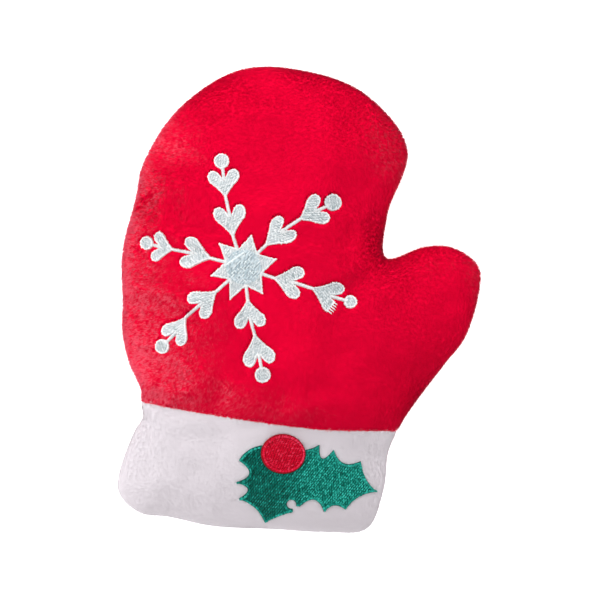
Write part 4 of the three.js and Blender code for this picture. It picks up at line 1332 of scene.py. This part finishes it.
def underlay(name, paths, lift, thick, mat, slot, *nodes, shade=0.45):
    """A padded bed of thread under the stitches, following the plush."""
    verts, faces = [], []
    base = 0
    for path in paths:
        loop = resample(path, 0.7, True)
        edges = boundary_loop(list(range(len(loop))))
        lo, hi = loop.min(0), loop.max(0)
        xs, ys = np.meshgrid(np.arange(lo[0], hi[0], 1.2), np.arange(lo[1], hi[1], 1.2))
        pts = np.stack([xs.ravel(), ys.ravel()], 1)
        ok = inside(pts, loop) & (path_distance(pts, loop, True) > 0.5)
        vecs = [Vector(v) for v in loop] + [Vector(v) for v in pts[ok]]
        ov, _, of, *_ = geometry.delaunay_2d_cdt(vecs, edges, [], 1, 1e-6)
        xy = np.array([tuple(v) for v in ov])
        tri = np.array([f for f in of if len(f) == 3], np.int32)
        a, b, c = xy[tri[:, 0]], xy[tri[:, 1]], xy[tri[:, 2]]
        turn = (b[:, 0] - a[:, 0]) * (c[:, 1] - a[:, 1]) - (b[:, 1] - a[:, 1]) * (c[:, 0] - a[:, 0])
        tri[turn < 0] = tri[turn < 0][:, ::-1]
        dist = np.minimum(path_distance(xy, loop, True), 0.8) / 0.8
        top, _ = front_at(xy[:, 0], xy[:, 1], lift + thick * (0.35 + 0.65 * dist))
        low, _ = front_at(xy[:, 0], xy[:, 1], np.full(len(xy), lift - 0.25))
        v, f = shell(top, low, tri)
        verts.append(v)
        faces.append(f + base)
        base += len(v)
    v = np.vstack(verts)
    ob = make_mesh(name, v, np.vstack(faces), shade=np.full(len(v), shade))
    return finish_piece(ob, mat, slot, *nodes)


def sew(name, runs, mat, slot, *nodes):
    """One piece from several runs of stitches."""
    verts, faces, shades, base = [], [], [], 0
    for kw in runs:
        if not len(kw["starts"]):
            continue
        v, f, sh = stitches(**kw)
        verts.append(v)
        faces.append(f + base)
        shades.append(sh)
        base += len(v)
    ob = make_mesh(name, np.vstack(verts), np.vstack(faces), shade=np.concatenate(shades))
    return finish_piece(ob, mat, slot, *nodes)


def fill_run(path, heading, pitch, stitch, lift, shade, r, holes=(), arch=0.12, rows=0.0):
    """A filled area. shade is (mean, spread), and rows is how much every other row is darker."""
    s, e, turns = fill_lines(path, heading, pitch, stitch, r, holes)
    tone = np.clip(r.normal(*shade, len(s)) + rows * turns, 0, 1)
    return dict(starts=s, ends=e, half_width=pitch * 0.56, height=0.17, lift=lift, arch=arch, shade=tone)


def edge_run(path, width, lift, shade, r, keep=None, outside=0.0, closed=True, arch=0.2, whole=None):
    s, e = satin_edge(path, 0.38, width, r, closed, outside, whole=whole)
    if keep is not None:
        ok = keep(s, e)
        s, e = s[ok], e[ok]
    return dict(starts=s, ends=e, half_width=0.22, height=0.18, lift=lift, arch=arch, shade=np.clip(r.normal(*shade, len(s)), 0, 1))


BED = -0.42
SHRINK = -0.22           # the pile closes over the outer ends of the stitches
r = np.random.default_rng(5)
for arm in range(1, 7):
    shapes = [grown(hearts[arm, "inner"], SHRINK), grown(hearts[arm, "outer"], SHRINK), grown(dots[arm], SHRINK)]
    shapes += [bar_path(a, b, LINK_WIDTH * 0.7) for a, b in links[arm]]
    underlay(f"bed_arm_{arm}", shapes, BED, 0.3, MAT_THREAD_WHITE, "thread_white", f"snowflake_arm_{arm}", shade=0.40)
    runs = []
    for ring in ("inner", "outer"):
        info, path = heart_info[(arm, ring)], hearts[arm, ring]
        dull = 0.14 if (arm, ring) in ((2, "outer"), (3, "outer")) else 0.0
        runs.append(fill_run(grown(path, SHRINK - 0.2), info[4] + 90 + 22, 0.42, 1.3, BED + 0.36, (0.56 - dull, 0.20), r, rows=0.10))
        runs.append(edge_run(path, 0.95, BED + 0.40, (0.84 - dull, 0.13), r, outside=SHRINK))
    if arm == LOOSE_HEART[0]:
        runs.append(dict(starts=LOOSE_FROM, ends=LOOSE_TO, half_width=0.27, height=0.2, lift=BED + 0.42, arch=0.2, shade=np.full(len(LOOSE_FROM), 0.8)))
    runs.append(fill_run(grown(dots[arm], SHRINK - 0.2), 30 + 17 * arm, 0.42, 1.3, BED + 0.36, (0.56 if arm != 2 else 0.38, 0.20), r, rows=0.08))
    runs.append(edge_run(dots[arm], 0.95, BED + 0.40, (0.84 if arm != 2 else 0.55, 0.13), r, outside=SHRINK))
    for a, b in links[arm]:
        s, e = satin_bar(a, b, LINK_WIDTH * 0.78, 0.36, r)
        runs.append(dict(starts=s, ends=e, half_width=0.2, height=0.17, lift=BED + 0.3, arch=0.26, shade=np.clip(r.normal(0.82, 0.1, len(s)), 0, 1)))
    sew(f"stitches_arm_{arm}", runs, MAT_THREAD_WHITE, "thread_white")

STAR_IN = grown(STAR, SHRINK * 0.8)
underlay("bed_star", [STAR_IN], BED, 0.3, MAT_THREAD_WHITE, "thread_white", "snowflake_star")
runs = [
    fill_run(STAR_IN, 60, 0.42, 1.4, BED + 0.36, (0.60, 0.18), r, holes=[disc_path(*SNOWFLAKE, HUB_RADIUS * 0.8)], rows=0.08),
    edge_run(STAR, 0.8, BED + 0.42, (0.88, 0.08), r, outside=SHRINK * 0.8),
]
sew("stitches_star", runs, MAT_THREAD_WHITE, "thread_white")
hub = disc_path(*SNOWFLAKE, HUB_RADIUS)
runs = [fill_run(hub, 52, 0.44, 2.4, BED + 0.52, (0.50, 0.18), r, arch=0.14, rows=0.16)]
over = fill_run(hub, -38, 1.3, 1.3, BED + 0.66, (0.85, 0.12), r, arch=0.14)
pick = r.random(len(over["starts"])) < 0.45
runs.append({**over, "half_width": 0.2, "starts": over["starts"][pick], "ends": over["ends"][pick], "shade": over["shade"][pick]})
chord = np.array([SNOWFLAKE]) + np.array([[-7.0, -0.3], [-0.5, 5.2]])
s, e = satin_bar(chord[0], chord[1], 1.0, 0.36, r)
runs.append(dict(starts=s, ends=e, half_width=0.2, height=0.17, lift=BED + 0.6, arch=0.2, shade=np.full(len(s), 0.95)))
sew("stitches_hub", runs, MAT_THREAD_BLUE, "thread_blue_grey", "snowflake_hub")

# the two leaves as one outline, from under the berry round the left leaf, the bite and the right leaf
HOLLY_BED = 0.16
left, right = LEAVES["left"], LEAVES["right"]
divide = row_point(LEAF_LEFT, "under_berry")


def from_divide(path):
    k = int(((path - divide) ** 2).sum(1).argmin())
    return np.roll(path, -k, 0)


HOLLY = np.vstack([from_divide(left)[1:], from_divide(right)[1:]])
if (HOLLY[:, 0] * np.roll(HOLLY[:, 1], -1) - np.roll(HOLLY[:, 0], -1) * HOLLY[:, 1]).sum() < 0:
    HOLLY = HOLLY[::-1]
divide_end = np.array([BITE["x"], BITE["y"]])


def on_left(q):
    d = divide_end - divide
    return d[0] * (q[:, 1] - divide[1]) - d[1] * (q[:, 0] - divide[0]) < 0


def part_of(run, ok):
    return {**run, "starts": run["starts"][ok], "ends": run["ends"][ok], "shade": run["shade"][ok]}


small = grown(HOLLY, SHRINK * 0.5)
# painted shadow: the leaves' stitches keep clear of a ring round the berry, so that their dark bed shows there
berry_ring = grown(BERRY_PATH, 0.25)
holly_fill = fill_run(small, 58, 0.42, 1.35, HOLLY_BED + 0.36, (0.42, 0.14), r, holes=[berry_ring], arch=0.10, rows=0.17)
middle = (holly_fill["starts"] + holly_fill["ends"]) / 2
tone = 0.16 * smooth((middle[:, 0] - 2) / 14) - 0.12 * (1 - smooth((middle[:, 0] + 4) / 12))
holly_fill["shade"] = np.clip(holly_fill["shade"] + tone + 0.05 * r.normal(0, 1, len(tone)), 0, 1)
crossing = fill_run(small, -35, 1.8, 1.0, HOLLY_BED + 0.44, (0.85, 0.12), r, holes=[berry_ring], arch=0.12)
cross_middle = (crossing["starts"] + crossing["ends"]) / 2
crossing = {**crossing, "half_width": 0.17}
crossing = part_of(crossing, (cross_middle[:, 0] > 9) & (r.random(len(cross_middle)) < 0.30))
rim = edge_run(HOLLY, 1.0, HOLLY_BED + 0.42, (0.62, 0.15), r, outside=SHRINK * 0.5)
rim = part_of(rim, ~inside(rim["starts"], berry_ring) & ~inside(rim["ends"], berry_ring))
for side in ("left", "right"):
    underlay(f"bed_leaf_{side}", [grown(LEAVES[side], 0.12)], HOLLY_BED - 0.05, 0.3, MAT_THREAD_GREEN, "thread_green", f"holly_leaf_{side}", shade=0.12)
    runs = []
    for run in (holly_fill, crossing, rim):
        m_ = (run["starts"] + run["ends"]) / 2
        mine = on_left(m_) if side == "left" else ~on_left(m_)
        if mine.any():
            runs.append(part_of(run, mine))
    sew(f"stitches_leaf_{side}", runs, MAT_THREAD_GREEN, "thread_green")
# painted shadow: the berry's dark bed shows as a rim, most at its lower left, where the raised berry's shadow falls
underlay("bed_berry", [grown(BERRY_PATH, 0.05)], HOLLY_BED + 0.3, 0.8, MAT_THREAD_RED, "thread_red", "holly_berry", shade=0.02)
berry = grown(BERRY_PATH, -0.40) + np.array([0.20, 0.16])
rim = edge_run(berry, 1.0, HOLLY_BED + 1.02, (0.50, 0.12), r, arch=0.34)
# painted highlight: rim stitches on the berry's upper right are made paler
toward = (rim["starts"] + rim["ends"]) / 2 - np.array([BERRY["x"], BERRY["y"]])
toward /= np.linalg.norm(toward, axis=1, keepdims=True)
rim["shade"] = np.clip(rim["shade"] + 0.28 * smooth(toward @ np.array([0.8, 0.6])) * (r.random(len(toward)) < 0.6), 0, 1)
runs = [
    fill_run(grown(berry, -1.0), 28, 0.42, 1.3, HOLLY_BED + 1.1, (0.47, 0.12), r, arch=0.10),
    rim,
]
sew("stitches_berry", runs, MAT_THREAD_RED, "thread_red")

# ------------------------------------------------------------------ the filling stays as it is, inside the panels

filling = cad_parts["stuffing"]
for s_ in filling.material_slots:
    s_.material = MAT_FIBRE

# ------------------------------------------------------------------ stage, light and camera

bpy.ops.mesh.primitive_plane_add(size=8, location=(0, 0, -0.0002))
floor = bpy.context.object
floor.name = "floor"
mat, nt, bsdf = new_material("floor_paper")
tc = nt.nodes.new("ShaderNodeTexCoord")
noise = nt.nodes.new("ShaderNodeTexNoise")
noise.inputs["Scale"].default_value = 14
ramp = nt.nodes.new("ShaderNodeValToRGB")
ramp.color_ramp.elements[0].color = (0.90, 0.90, 0.90, 1)
ramp.color_ramp.elements[1].color = (0.93, 0.93, 0.93, 1)
nt.links.new(tc.outputs["Object"], noise.inputs["Vector"])
nt.links.new(noise.outputs["Fac"], ramp.inputs["Fac"])
nt.links.new(ramp.outputs["Color"], bsdf.inputs["Base Color"])
bsdf.inputs["Roughness"].default_value = 0.9
bsdf.inputs["Emission Color"].default_value = (1, 1, 1, 1)
bsdf.inputs["Emission Strength"].default_value = 0.8
floor.data.materials.append(mat)

world = bpy.context.scene.world or bpy.data.worlds.new("World")
bpy.context.scene.world = world
world.use_nodes = True
world.node_tree.nodes["Background"].inputs["Color"].default_value = (1, 1, 1, 1)
world.node_tree.nodes["Background"].inputs["Strength"].default_value = 0.56


def softbox(name, location, size, power, target=(0, 0, 0.02)):
    light = bpy.data.lights.new(name, "AREA")
    light.shape = "RECTANGLE"
    light.size, light.size_y = size
    light.energy = power
    ob = bpy.data.objects.new(name, light)
    ob.location = location
    ob.rotation_euler = (Vector(target) - Vector(location)).to_track_quat("-Z", "Y").to_euler()
    bpy.context.scene.collection.objects.link(ob)
    return ob


softbox("key", (-0.05, 0.60, 1.30), (1.3, 1.3), 8.0)
softbox("left", (-0.92, 0.16, 0.54), (0.5, 0.9), 5.4)
softbox("upper_right", (0.58, 0.90, 0.50), (0.6, 0.5), 4.6)
softbox("near", (-0.70, -0.75, 0.60), (0.8, 0.6), 1.6)
softbox("low_right", (0.9, -0.10, 0.08), (0.9, 0.10), 0.25)

VIEW_TURN = math.radians(6.0)
DISTANCE = 932.0
SEEN_AT = 18.0
PIXEL = 0.3860203
cam_data = bpy.data.cameras.new("camera")
cam_data.sensor_width = 36
cam_data.lens = 36 * DISTANCE / (600 * PIXEL)
cam_data.clip_start = 0.05
cam = bpy.data.objects.new("camera", cam_data)
cam.location = ((2.6367 * PIXEL - MIDDLE[0]) * MM, (2.3728 * PIXEL - MIDDLE[1]) * MM, (DISTANCE + SEEN_AT) * MM)
cam.rotation_euler = (0, 0, VIEW_TURN)
bpy.context.scene.collection.objects.link(cam)
bpy.context.scene.camera = cam
bpy.context.scene.view_settings.view_transform = "Standard"

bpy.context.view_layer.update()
total = 0
for ob in made:
    k = sum(len(p.vertices) - 2 for p in ob.data.polygons)
    total += k
    if k > 60000:
        print(ob.name, k)
print("triangles", total)
